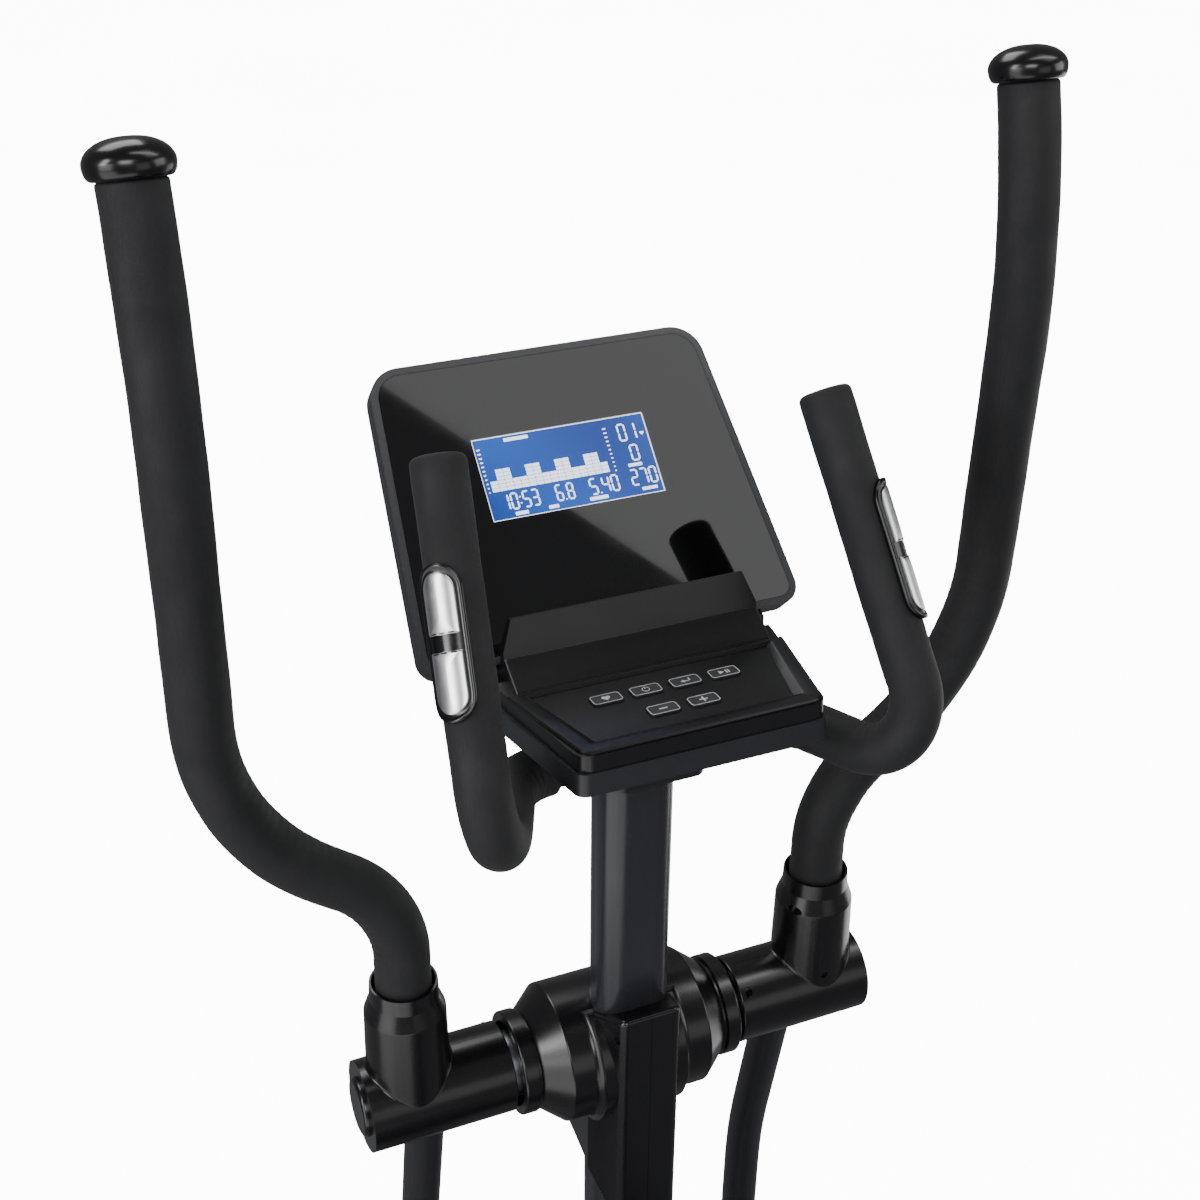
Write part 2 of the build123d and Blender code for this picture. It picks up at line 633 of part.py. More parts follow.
def crank_disc(side):
    """Dished plastic disc over a crank arm."""
    pin_z = crank_z + crank_radius * (1 if side < 0 else -1)
    face, back = disc_face_x, disc_back_x
    with BuildSketch(Plane.XY.offset(crank_z)) as dish:
        with BuildLine():
            Polyline(
                (side * (face - 3), crank_y),
                (side * (face - 3), crank_y + 196),
                (side * (back + 6), crank_y + 208),
                (side * back, crank_y + disc_radius - 3),
                (side * back, crank_y + disc_radius),
                (side * (back + 6), crank_y + disc_radius),
                (side * (back + 9), crank_y + disc_radius - 4),
                (side * face, crank_y + 196),
                (side * (face + 1.5), crank_y + 60),
                (side * (face + 1.5), crank_y),
                close=True,
            )
        make_face()
    with BuildPart() as disc:
        revolve(dish.sketch, axis=Axis((0, crank_y, crank_z), (1, 0, 0)))
        rod_x(crank_y, pin_z, boss_radius + 0.3, *sorted((side * 60, side * 90)), mode=Mode.SUBTRACT)
    return disc.part


def drive_pulley():
    with BuildPart() as pulley:
        low, high = belt_x - belt_half_width - 1.5, belt_x + belt_half_width + 1.5
        rod_x(crank_y, crank_z, pulley_radius, belt_x - belt_half_width, belt_x + belt_half_width)
        rod_x(crank_y, crank_z, pulley_radius + 4, low, low + 1.5)
        rod_x(crank_y, crank_z, pulley_radius + 4, high - 1.5, high)
        rod_x(crank_y, crank_z, pulley_radius - 12, belt_x + 2, high, Mode.SUBTRACT)
        rod_x(crank_y, crank_z, 24, belt_x + 2, high)
        rod_x(crank_y, crank_z, 10, low, high, Mode.SUBTRACT)
        for turn in range(6):
            angle = radians(60 * turn + 30)
            y, z = crank_y + 72 * cos(angle), crank_z + 72 * sin(angle)
            rod_x(y, z, 24, low - 1, high + 1, Mode.SUBTRACT)
    return pulley.part


def flywheel():
    """Cast disc with a small belt pulley on its hub."""
    with BuildPart() as wheel:
        rod_x(flywheel_y, flywheel_z, flywheel_radius, -30, -4)
        rod_x(flywheel_y, flywheel_z, flywheel_radius - 18, -12, -4, Mode.SUBTRACT)
        rod_x(flywheel_y, flywheel_z, flywheel_radius - 18, -30, -22, Mode.SUBTRACT)
        rod_x(flywheel_y, flywheel_z, 26, -34, -4)
        rod_x(
            flywheel_y,
            flywheel_z,
            flywheel_pulley_radius,
            -4,
            belt_x + belt_half_width,
        )
        rod_x(flywheel_y, flywheel_z, 6 + bush_gap, -40, 40, Mode.SUBTRACT)
    return wheel.part


def drive_belt():
    with BuildSketch(Plane.YZ.offset(belt_x - belt_half_width + 1)) as loop:
        with Locations((crank_y, crank_z)):
            Circle(pulley_radius + belt_gap + belt_thickness)
        with Locations((flywheel_y, flywheel_z)):
            Circle(flywheel_pulley_radius + belt_gap + belt_thickness)
        make_hull()
    with BuildSketch(Plane.YZ.offset(belt_x - belt_half_width + 1)) as inside:
        with Locations((crank_y, crank_z)):
            Circle(pulley_radius + belt_gap)
        with Locations((flywheel_y, flywheel_z)):
            Circle(flywheel_pulley_radius + belt_gap)
        make_hull()
    with BuildPart() as belt:
        extrude(loop.sketch, amount=2 * belt_half_width - 2)
        extrude(inside.sketch, amount=2 * belt_half_width - 2, mode=Mode.SUBTRACT)
    return belt.part


def idler_place():
    """Centre of the idler, which rides on the outside of the belt's lower run."""
    span_y, span_z = flywheel_y - crank_y, flywheel_z - crank_z
    span = hypot(span_y, span_z)
    lean = asin((pulley_radius - flywheel_pulley_radius) / span)
    base = asin(span_z / span)
    normal = base - radians(90) + lean
    reach = 0.62
    radius_here = pulley_radius + (flywheel_pulley_radius - pulley_radius) * reach
    out = radius_here + belt_gap * 2 + belt_thickness + idler_radius
    y = crank_y + span_y * reach + out * cos(normal)
    z = crank_z + span_z * reach + out * sin(normal)
    return y, z


def idler_pulley():
    y, z = idler_place()
    with BuildPart() as idler:
        rod_x(y, z, idler_radius, belt_x - 8, belt_x + 8)
        rod_x(y, z, 6 + bush_gap, belt_x - 8, belt_x + 8, Mode.SUBTRACT)
    return idler.part


def brake_arm():
    """Curved magnet holder round the front of the flywheel, hinged at its lower end."""
    with BuildSketch(Plane.YZ.offset(-28)) as sector:
        with Locations((flywheel_y, flywheel_z)):
            Circle(flywheel_radius + 14)
            Circle(flywheel_radius + 3, mode=Mode.SUBTRACT)
        with BuildLine():
            Polyline(
                (flywheel_y, flywheel_z),
                (flywheel_y + 200, flywheel_z - 60),
                (flywheel_y + 200, flywheel_z + 110),
                close=True,
            )
        make_face(mode=Mode.INTERSECT)
    with BuildPart() as arm:
        extrude(sector.sketch, amount=22)
        rod_x(brake_y, brake_z, 9, -28, -6)
        rod_x(brake_y, brake_z, 4 + bush_gap, -28, -6, Mode.SUBTRACT)
    return arm.part


def servo_motor():
    """Resistance motor that pulls the brake arm through a short wire."""
    with BuildPart() as servo:
        block(-26, 10, brake_y + 4, brake_y + 34, rail_top + 4, rail_top + 40)
        fillet(servo.edges().filter_by(Axis.Z), 4)
        rod_x(brake_y + 19, rail_top + 26, 8, 10, 16)
    return servo.part


def housing_outline(inset):
    """Side outline of the drive housing."""
    with BuildSketch(Plane.YZ) as side:
        with BuildLine():
            FilletPolyline(
                (-634, rail_top + 0.5),
                (-634, 330),
                (-560, 492),
                (crank_y, 540),
                (-230, 500),
                (-40, 392),
                (56, 250),
                (70, rail_top + 0.5),
                radius=38,
            )
            Line((-634, rail_top + 0.5), (70, rail_top + 0.5))
        make_face()
        if inset:
            offset(amount=-inset)
    return side.sketch


def housing_shell():
    """Right-hand half of the drive housing, open at the centre seam."""
    with BuildPart() as shell:
        extrude(housing_outline(0), amount=housing_half_width)
        outer_face = shell.faces().sort_by(Axis.X)[-1]
        fillet(outer_face.edges().sort_by(Axis.Z)[1:], 14)
        extrude(housing_outline(housing_wall), amount=housing_half_width - housing_wall, mode=Mode.SUBTRACT)
        rod_x(crank_y, crank_z, 24, 0, housing_half_width + 1, Mode.SUBTRACT)
        block(-1, fork_x + 4.5, -620, 60, rail_top, rail_top + 6, Mode.SUBTRACT)
        block(-1, 11.2, 58, 80, 149.8, 168.2, Mode.SUBTRACT)
    return shell.part


# ---------------------------------------------------------------- console
def display_outline(inset=0.0):
    """Outline of the display: a rounded trapezium, a little wider at its foot."""
    with BuildSketch(display_plane) as outline:
        with BuildLine():
            Polyline((-117, 115), (117, 115), (133, -92), (-133, -92), close=True)
        make_face()
        fillet(outline.vertices().group_by(Axis.Y)[-1], 22)
        fillet(outline.vertices().group_by(Axis.Y)[0], 14)
        if inset:
            offset(amount=-inset)
    return outline.sketch


def console_back():
    """Moulded rear shell: display back with its frame, and the tray under the keypad deck."""
    with BuildPart() as back:
        extrude(display_outline(), amount=-display_thickness)
        fillet(back.faces().sort_by(Axis(display_origin, display_normal))[0].edges(), 7)
        extrude(display_outline(5), amount=-2.6, mode=Mode.SUBTRACT)
        extrude(display_outline(9), amount=-display_thickness + 3, mode=Mode.SUBTRACT)
        extrude(deck_plan(106, 82, 8, 104, -44, -11), amount=-15)
        extrude(deck_plan(95, 79, 6, 60, -41, -11), amount=-12.5, mode=Mode.SUBTRACT)
        extrude(deck_plan(106, 101, 0, 104, 78, -2), amount=-24)
    return back.part


def console_face():
    """Glossy front panel with the LCD window."""
    with BuildSketch(display_plane) as window:
        with Locations((0, 28.8)):
            Rectangle(122, 57.6)
    with BuildPart() as face:
        extrude(display_outline(5.3), amount=-2.5)
        extrude(window.sketch, amount=-2.5, mode=Mode.SUBTRACT)
    return face.part


def lcd_module():
    with BuildSketch(display_plane.offset(-6)) as board:
        with Locations((0, 28.8)):
            Rectangle(134, 70)
    with BuildSketch(display_plane.offset(-2.6)) as glass:
        with Locations((0, 28.8)):
            Rectangle(121.6, 57.2)
    with BuildPart() as module:
        extrude(board.sketch, amount=3)
        extrude(glass.sketch, amount=1.6, both=True)
    return module.part


def deck_plan(rear_half, front_half, corner, y_rear, y_front, level):
    """Plan outline of the keypad deck at a height above the deck plane."""
    with BuildSketch(deck_plane.offset(level)) as plan:
        with BuildLine():
            Polyline(
                (-rear_half, y_rear),
                (rear_half, y_rear),
                (front_half, y_front),
                (-front_half, y_front),
                close=True,
            )
        make_face()
        if corner:
            fillet(plan.vertices().group_by(Axis.Y)[0], corner)
    return plan.sketch


def deck_top():
    """Upper deck: rimmed keypad tray, sloped throat and the upstanding tablet ledge."""
    ledge_half = 87.0
    with BuildPart() as top:
        extrude(deck_plan(96, 80.5, 10, 62, -43, -10.8), amount=10.8)
        with BuildSketch(Plane.YZ.offset(-ledge_half)) as ledge:
            with BuildLine():
                Polyline(
                    (axle_y - 38, axle_z + 326),
                    (axle_y - 38, axle_z + 335),
                    (axle_y - 16.5, axle_z + 348),
                    (axle_y - 8.5, axle_z + 371),
                    (axle_y - 4.5, axle_z + 369.5),
                    (axle_y - 9.5, axle_z + 343),
                    (axle_y - 4, axle_z + 333.5),
                    (axle_y - 4, axle_z + 326),
                    close=True,
                )
            make_face()
        extrude(ledge.sketch, amount=2 * ledge_half)
        for side in (-1, 1):
            with BuildSketch(Plane.XZ.offset(-axle_y)) as corner:
                with BuildLine():
                    Polyline(
                        (side * 76, axle_z + 380),
                        (side * 90, axle_z + 344),
                        (side * 100, axle_z + 380),
                        close=True,
                    )
                make_face()
            extrude(corner.sketch, amount=60, both=True, mode=Mode.SUBTRACT)
        extrude(deck_plan(84.5, 78.5, 4, 40, -34, -2.6), amount=2.6, mode=Mode.SUBTRACT)
        extrude(deck_plan(70, 70, 0, 36, -30, -8.8), amount=8, mode=Mode.SUBTRACT)
    return top.part


button_places = {
    "button_recovery": (-39.6, 15.0),
    "button_reset": (-13.3, 15.0),
    "button_enter": (13.2, 15.0),
    "button_start": (39.6, 15.0),
    "button_down": (-13.4, -10.5),
    "button_up": (13.4, -10.5),
}


def keypad_plate():
    with BuildPart() as plate:
        extrude(deck_plan(84.1, 78.1, 4, 39.6, -33.6, -2.5), amount=2)
        with BuildSketch(deck_plane.offset(-3)) as holes:
            with Locations(*button_places.values()):
                RectangleRounded(button_size_x + 2 * button_gap, button_size_y + 2 * button_gap, 2.8)
        extrude(holes.sketch, amount=5, mode=Mode.SUBTRACT)
    return plate.part


def button(place):
    """Key cap with a flange below the plate that stops it from lifting out."""
    with BuildSketch(deck_plane.offset(-5)) as cap_plan:
        with Locations(place):
            RectangleRounded(button_size_x, button_size_y, 2.5)
    with BuildSketch(deck_plane.offset(-5)) as flange_plan:
        with Locations(place):
            RectangleRounded(button_size_x + 3, button_size_y + 3, 3)
    with BuildPart() as cap:
        extrude(cap_plan.sketch, amount=6)
        fillet(cap.faces().sort_by(Axis((0, 0, 0), deck_normal))[-1].edges(), 0.5)
        extrude(flange_plan.sketch, amount=2)
    return cap.part


def mast_saddle():
    """Bracket on the mast's top that clamps the fixed bar and carries the console."""
    with BuildPart() as saddle:
        block(-32, 32, mast_y - 45, mast_y + 26, mast_top, axle_z + 330)
        fillet(saddle.edges().filter_by(Axis.Z), 8)
        rod_x(bar_y, bar_z, bar_radius, -40, 40, Mode.SUBTRACT)
        split(bisect_by=deck_plane.offset(-26), keep=Keep.BOTTOM)
    return saddle.part


# ---------------------------------------------------------------- fixed pulse handlebar
def bar_corners():
    """Corners of the right half of the fixed bar, from the middle to the grip's end."""
    return (
        (0, bar_y, bar_z),
        (94, bar_y, bar_z),
        (146, axle_y - 159, axle_z + 287),
        (125, axle_y - 17, axle_z + 493),
    )


def bar_path(first=None, last=None):
    """Centre line of the right half, or part of it, with both bends rounded."""
    corners = [Vector(*corner) for corner in bar_corners()]
    if first is not None:
        corners[0] = corners[0] + (corners[1] - corners[0]).normalized() * first
    if last is not None:
        corners[3] = corners[3] + (corners[2] - corners[3]).normalized() * last
    with BuildLine() as path:
        FilletPolyline(*corners, radius=38)
    return path.line


def fixed_bar():
    with BuildPart() as bar:
        half = pipe(bar_path(last=6), bar_radius)
        add(half)
        mirror(half, about=Plane.YZ)
    return bar.part


def fixed_grip():
    """Foam sleeve from below the deck to the rounded upper end."""
    end = Vector(*bar_corners()[3])
    with BuildPart() as grip:
        add(pipe(bar_path(first=66), bar_grip_radius))
        fillet(grip.faces().sort_by(Axis.Z)[-1].edges(), 4)
        add(pipe(bar_path(last=6), bar_radius), mode=Mode.SUBTRACT)
    return grip.part


def sensor_plane():
    """Plane across the grip at the sensor's middle, with x pointing away from the grip."""
    corners = [Vector(*corner) for corner in bar_corners()]
    along = (corners[2] - corners[3]).normalized()
    middle = corners[3] + along * 107
    outward = Vector(1, -1, 0)
    outward = (outward - along * outward.dot(along)).normalized()
    return Plane(origin=middle, x_dir=outward, z_dir=along)


def sensor_band(inner, outer, width, length, split):
    """A stadium-shaped patch of a thin tube round the grip; split leaves two plates."""
    across = sensor_plane()
    facing = Plane(origin=across.origin, x_dir=across.y_dir, z_dir=across.x_dir)
    with BuildSketch(across.offset(-length)) as ring:
        Circle(outer)
        Circle(inner, mode=Mode.SUBTRACT)
    with BuildSketch(facing) as patch:
        SlotOverall(length, width, rotation=90)
        if split:
            Rectangle(width + 4, split, mode=Mode.SUBTRACT)
    with BuildPart() as band:
        extrude(ring.sketch, amount=2 * length)
        extrude(patch.sketch, amount=outer + 5, mode=Mode.INTERSECT)
    return band.part


# ---------------------------------------------------------------- fasteners and small parts
def frame_fasteners():
    """Right-hand bolts of the stabilisers and mast, axle collar and axle end screw."""
    with BuildPart() as right_side:
        for y in (front_y, rear_y):
            rod_z(stabiliser_bolt_x, y, 4, stabiliser_z - stabiliser_radius, rail_bottom + rail_wall)
            low = stabiliser_z - stabiliser_radius - 4
            rod_z(stabiliser_bolt_x, y, 8, low, low + 4)
        rod_x(mast_y, mast_bolt_z, 4, 18, mast_half_x)
        rod_x(mast_y, mast_bolt_z, 7, mast_half_x, mast_half_x + 2.4)
        rod_x(axle_y, axle_z, 24, cross_tube_half, sleeve_start - 3.4)
        rod_x(axle_y, axle_z, axle_radius, cross_tube_half, sleeve_start, Mode.SUBTRACT)
        rod_x(axle_y, axle_z, 12, axle_half_length, axle_half_length + 2.4)
    return right_side.part


def levelling_foot():
    """Rubber-soled foot on a screw that goes up into the rear stabiliser."""
    with BuildPart() as foot:
        rod_z(foot_x, rear_y, 19, 0, 7)
        fillet(foot.edges().group_by(Axis.Z)[-1], 3)
        rod_z(foot_x, rear_y, 5, 7, stabiliser_z)
    return foot.part


def transport_wheel():
    y, z = front_y + wheel_reach, wheel_z
    x_low, x_high = stabiliser_half_length - 18.4, stabiliser_half_length + 7.4
    with BuildPart() as wheel:
        rod_x(y, z, wheel_radius, x_low, x_high)
        fillet(wheel.edges().filter_by(GeomType.CIRCLE), 3)
        rod_x(y, z, 4 + bush_gap, x_low, x_high, Mode.SUBTRACT)
    return wheel.part


def drive_bearings():
    with BuildPart() as bearings:
        for low, high in ((-43, -31), (4, 16)):
            rod_x(crank_y, crank_z, 17.5, low, high)
            rod_x(crank_y, crank_z, 10 + bush_gap, low, high, Mode.SUBTRACT)
    return bearings.part


def pivot_axle():
    with BuildPart() as axle:
        rod_x(axle_y, axle_z, axle_radius, -axle_half_length, axle_half_length)
    return axle.part


def power_socket():
    """Low-voltage inlet in the foot of the drive housing's front."""
    with BuildPart() as socket:
        block(-11, 11, 62, 76, 150, 168)
        fillet(socket.edges().filter_by(Axis.Y), 3)
        with Locations(Location((0, 70, 159), (90, 0, 0))):
            Cylinder(4.5, 13, mode=Mode.SUBTRACT)
        with Locations(Location((0, 68, 159), (90, 0, 0))):
            Cylinder(1.2, 12)
    return socket.part


# ---------------------------------------------------------------- write every node
save(base_rail(), "base_rail")
save(upright_post(), "upright_post")
save(drive_bracket(), "drive_bracket")
save(stabilisers(), "stabilisers")
caps = [*pair(stabiliser_cap(front_y, True)).solids(), *pair(stabiliser_cap(rear_y, False)).solids()]
save(Compound(children=caps), "stabiliser_caps")
save(pair(frame_fasteners()), "frame_fasteners")
save(pair(levelling_foot()), "levelling_feet")
save(pair(transport_wheel()), "transport_wheels")

save(mast_tube(), "mast_tube")
save(pivot_axle(), "pivot_axle")
both_sides(mast_cover(), "mast_cover")

both_sides(bushed_arm(), "swing_arm")
save(tee_cover(front=True, screws=False), "right_tee_cover_front")
save(tee_cover(front=False, screws=True), "right_tee_cover_rear")
save(mirror(tee_cover(front=True, screws=True), about=Plane.YZ), "left_tee_cover_front")
save(mirror(tee_cover(front=False, screws=False), about=Plane.YZ), "left_tee_cover_rear")
both_sides(handle_tube(), "handle_tube")
both_sides(handle_grip(), "handle_grip")
both_sides(handle_cap(), "handle_cap")

for name, side in (("right", 1), ("left", -1)):
    save(pedal_arm(side), f"{name}_pedal_arm")
    save(pedal_pins(side), f"{name}_pedal_pins")
    save(footplate(side), f"{name}_footplate")
    save(crank_disc(side), f"{name}_crank_disc")

save(crank_axle(), "crank_axle")
save(crank_arms(), "crank_arms")
save(drive_pulley(), "drive_pulley")
save(drive_bearings(), "drive_bearings")
save(drive_belt(), "drive_belt")
save(flywheel(), "flywheel")
save(idler_pulley(), "idler_pulley")
save(brake_arm(), "brake_arm")
save(servo_motor(), "servo_motor")
both_sides(housing_shell(), "drive_housing")
save(power_socket(), "power_socket")

save(console_back(), "console_back")
save(console_face(), "console_face")
save(lcd_module(), "lcd_module")
save(deck_top(), "deck_top")
save(keypad_plate(), "keypad_plate")
for name, place in button_places.items():
    save(button(place), name)
save(mast_saddle(), "mast_saddle")

save(fixed_bar(), "fixed_bar")
save(pair(fixed_grip()), "fixed_grips")
housing_band = sensor_band(bar_grip_radius + 0.1, bar_grip_radius + 3.6, 30, 90, 0)
plate_band = sensor_band(bar_grip_radius + 3.6, bar_grip_radius + 4.4, 20, 78, 9)
save(pair(housing_band), "sensor_housings")
save(pair(plate_band), "sensor_plates")
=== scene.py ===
"""Looks of the elliptical trainer: moulded shells, foam grips, powder-coated tube and a lit console."""

import json
from math import atan2, cos, pi, radians, sin, tan

import bmesh
import bpy
from mathutils import Euler, Matrix, Vector


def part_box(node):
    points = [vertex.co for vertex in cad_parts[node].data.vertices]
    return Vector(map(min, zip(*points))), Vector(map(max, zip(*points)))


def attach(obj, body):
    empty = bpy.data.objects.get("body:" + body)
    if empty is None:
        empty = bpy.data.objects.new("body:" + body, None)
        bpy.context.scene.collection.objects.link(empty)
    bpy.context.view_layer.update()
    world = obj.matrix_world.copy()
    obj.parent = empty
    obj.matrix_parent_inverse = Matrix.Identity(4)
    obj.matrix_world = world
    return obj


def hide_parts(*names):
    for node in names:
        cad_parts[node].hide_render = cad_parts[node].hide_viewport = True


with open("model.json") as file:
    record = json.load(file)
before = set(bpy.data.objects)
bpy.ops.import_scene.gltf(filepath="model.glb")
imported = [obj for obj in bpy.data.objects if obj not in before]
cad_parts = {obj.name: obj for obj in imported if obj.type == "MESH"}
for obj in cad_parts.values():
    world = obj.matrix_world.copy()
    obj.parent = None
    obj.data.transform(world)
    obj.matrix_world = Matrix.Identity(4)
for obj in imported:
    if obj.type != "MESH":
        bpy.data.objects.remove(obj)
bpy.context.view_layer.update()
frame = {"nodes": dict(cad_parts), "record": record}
nodes = frame["nodes"]
MM = 0.001


# ------------------------------------------------------------------ frame of reference
def middle(node):
    """Centre of a CAD node's box."""
    low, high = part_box(node)
    return (low + high) / 2


axle = middle("pivot_axle")  # the swing pivot, on the mid-plane
crank = middle("crank_axle")


# ------------------------------------------------------------------ colour and node helpers
def linear(hex_colour):
    """An sRGB hex colour as the linear RGBA that a shader takes."""
    channels = [int(hex_colour[i : i + 2], 16) / 255 for i in (1, 3, 5)]
    return [c / 12.92 if c <= 0.04045 else ((c + 0.055) / 1.055) ** 2.4 for c in channels] + [1.0]


def add_node(tree, kind, inputs=None, **settings):
    """Adds a node, sets its properties, then fills its inputs from values or other sockets."""
    node = tree.nodes.new(kind)
    for name, value in settings.items():
        setattr(node, name, value)
    for name, value in (inputs or {}).items():
        if isinstance(value, bpy.types.NodeSocket):
            tree.links.new(value, node.inputs[name])
        else:
            node.inputs[name].default_value = value
    return node


def new_material(name, colour, roughness, metallic=0.0, ior=1.5):
    """A material with its shader: colour, roughness, metallic and IOR set on the shader's own sockets."""
    material = bpy.data.materials.new(name)
    material.use_nodes = True
    shader = material.node_tree.nodes["Principled BSDF"]
    shader.inputs["Base Color"].default_value = linear(colour)
    shader.inputs["Roughness"].default_value = roughness
    shader.inputs["Metallic"].default_value = metallic
    shader.inputs["IOR"].default_value = ior
    return material, material.node_tree, shader


def grain_bump(tree, shader, size_mm, depth_mm, kind="ShaderNodeTexNoise", detail=2.0):
    """A fine surface relief whose features are size_mm across and depth_mm deep."""
    place = add_node(tree, "ShaderNodeTexCoord")
    inputs = {"Vector": place.outputs["Object"], "Scale": 1000.0 / size_mm}
    if kind == "ShaderNodeTexNoise":
        inputs["Detail"] = detail
        texture = add_node(tree, kind, inputs)
        height = texture.outputs["Fac"]
    else:
        texture = add_node(tree, kind, inputs)
        height = texture.outputs["Distance"]
    bump = add_node(tree, "ShaderNodeBump", {"Height": height, "Strength": 1.0, "Distance": depth_mm * MM})
    tree.links.new(bump.outputs["Normal"], shader.inputs["Normal"])
    return place


def vary(tree, place, low, high, size_mm, detail=1.0):
    """A slow, soft blend between two values or colours over size_mm, for uneven gloss or tone."""
    noise = add_node(
        tree,
        "ShaderNodeTexNoise",
        {"Vector": place.outputs["Object"], "Scale": 1000.0 / size_mm, "Detail": detail},
    )
    ramp = add_node(tree, "ShaderNodeValToRGB", {"Fac": noise.outputs["Fac"]})
    ramp.color_ramp.elements[0].position = 0.2
    ramp.color_ramp.elements[1].position = 0.8
    ramp.color_ramp.elements[0].color = low if isinstance(low, list) else [low, low, low, 1.0]
    ramp.color_ramp.elements[1].color = high if isinstance(high, list) else [high, high, high, 1.0]
    return ramp.outputs["Color"]


# ------------------------------------------------------------------ materials
def moulded_abs(name, colour, lighter, roughness, grain_mm=0.55, depth_mm=0.012):
    """Injection-moulded ABS: a spark-eroded grain breaks the sheen, and gloss drifts across a panel."""
    material, tree, shader = new_material(name, colour, roughness, ior=1.53)
    place = grain_bump(tree, shader, grain_mm, depth_mm)
    tree.links.new(vary(tree, place, linear(colour), linear(lighter), 60), shader.inputs["Base Color"])
    tree.links.new(vary(tree, place, roughness - 0.02, roughness + 0.02, 35), shader.inputs["Roughness"])
    return material


def polished_abs(name, colour):
    """Gloss-moulded ABS cap: a bright but slightly blurred skin with the waviness of a polished tool."""
    material, tree, shader = new_material(name, colour, 0.22, ior=1.53)
    place = grain_bump(tree, shader, 9.0, 0.02, detail=0.0)
    tree.links.new(vary(tree, place, 0.19, 0.26, 12), shader.inputs["Roughness"])
    return material


def nbr_foam(name):
    """Closed-cell nitrile foam sleeve: dull, fine-pored skin with a soft edge sheen."""
    material, tree, shader = new_material(name, "#141416", 0.72, ior=1.45)
    shader.inputs["Sheen Weight"].default_value = 0.04
    shader.inputs["Sheen Roughness"].default_value = 0.5
    place = grain_bump(tree, shader, 0.5, 0.05, kind="ShaderNodeTexVoronoi")
    tree.links.new(vary(tree, place, linear("#101013"), linear("#161619"), 18), shader.inputs["Base Color"])
    tree.links.new(vary(tree, place, 0.62, 0.8, 30), shader.inputs["Roughness"])
    return material


def powder_coat(name, colour, lighter, roughness):
    """Baked powder coat on steel tube: a satin film with orange-peel ripple about 1.5 mm across."""
    material, tree, shader = new_material(name, colour, roughness, ior=1.5)
    place = grain_bump(tree, shader, 1.5, 0.02)
    tree.links.new(vary(tree, place, linear(colour), linear(lighter), 80), shader.inputs["Base Color"])
    tree.links.new(vary(tree, place, roughness - 0.02, roughness + 0.02, 25), shader.inputs["Roughness"])
    return material


def cast_acrylic(name):
    """Back-printed acrylic panel: a deep black print under a flat, mirror-smooth face."""
    material, tree, shader = new_material(name, "#08080a", 0.035, ior=1.49)
    shader.inputs["Coat Weight"].default_value = 0.6
    shader.inputs["Coat Roughness"].default_value = 0.02
    place = grain_bump(tree, shader, 60.0, 0.05, detail=0.0)
    tree.links.new(vary(tree, place, 0.025, 0.06, 22), shader.inputs["Roughness"])
    return material


def backlit_lcd(name):
    """Negative liquid-crystal display: a blue backlight whose strength drifts a little across the display."""
    material, tree, shader = new_material(name, "#16386f", 0.18, ior=1.52)
    place = grain_bump(tree, shader, 0.35, 0.004)
    glow = vary(tree, place, linear("#0b3080"), linear("#1f57b4"), 90, detail=0.0)
    tree.links.new(glow, shader.inputs["Base Color"])
    tree.links.new(glow, shader.inputs["Emission Color"])
    shader.inputs["Emission Strength"].default_value = 0.85
    return material


def lit_segment(name):
    """Clear LCD segments: the backlight shows through them as cool white."""
    material, tree, shader = new_material(name, "#e8eefc", 0.3)
    place = grain_bump(tree, shader, 0.35, 0.003)
    glow = vary(tree, place, linear("#dfe8fb"), linear("#f6f9ff"), 30)
    tree.links.new(glow, shader.inputs["Base Color"])
    tree.links.new(glow, shader.inputs["Emission Color"])
    shader.inputs["Emission Strength"].default_value = 1.3
    return material


def screen_print(name, colour):
    """Silver-grey pad-printed ink: a thin, slightly speckled matte film."""
    material, tree, shader = new_material(name, colour, 0.45)
    place = grain_bump(tree, shader, 0.4, 0.01)
    tree.links.new(vary(tree, place, linear(colour), linear("#c9cbd0"), 1.2), shader.inputs["Base Color"])
    return material


def brushed_metal(name, colour, roughness, line_mm, stretch=(1.0, 1.0, 60.0)):
    """Brushed or turned steel: fine lines one way, which stretch the highlights across them."""
    material, tree, shader = new_material(name, colour, roughness, metallic=1.0)
    place = add_node(tree, "ShaderNodeTexCoord")
    squeeze = add_node(
        tree,
        "ShaderNodeMapping",
        {"Vector": place.outputs["Object"], "Scale": [1000.0 / line_mm / s for s in stretch]},
    )
    line_depth = 0.001 * MM
    pattern = {"Vector": squeeze.outputs["Vector"], "Scale": 1.0, "Detail": 3.0}
    lines = add_node(tree, "ShaderNodeTexNoise", pattern)
    relief = {"Height": lines.outputs["Fac"], "Strength": 0.3, "Distance": line_depth}
    bump = add_node(tree, "ShaderNodeBump", relief)
    tree.links.new(bump.outputs["Normal"], shader.inputs["Normal"])
    tree.links.new(vary(tree, place, roughness - 0.02, roughness + 0.03, 8), shader.inputs["Roughness"])
    return material


def moulded_rubber(name, colour, roughness=0.7, lighter="#242426"):
    """Vulcanised rubber: matt black with a bloom of lighter grey and a slight grain."""
    material, tree, shader = new_material(name, colour, roughness, ior=1.52)
    place = grain_bump(tree, shader, 0.8, 0.02)
    tree.links.new(vary(tree, place, linear(colour), linear(lighter), 12), shader.inputs["Base Color"])
    return material


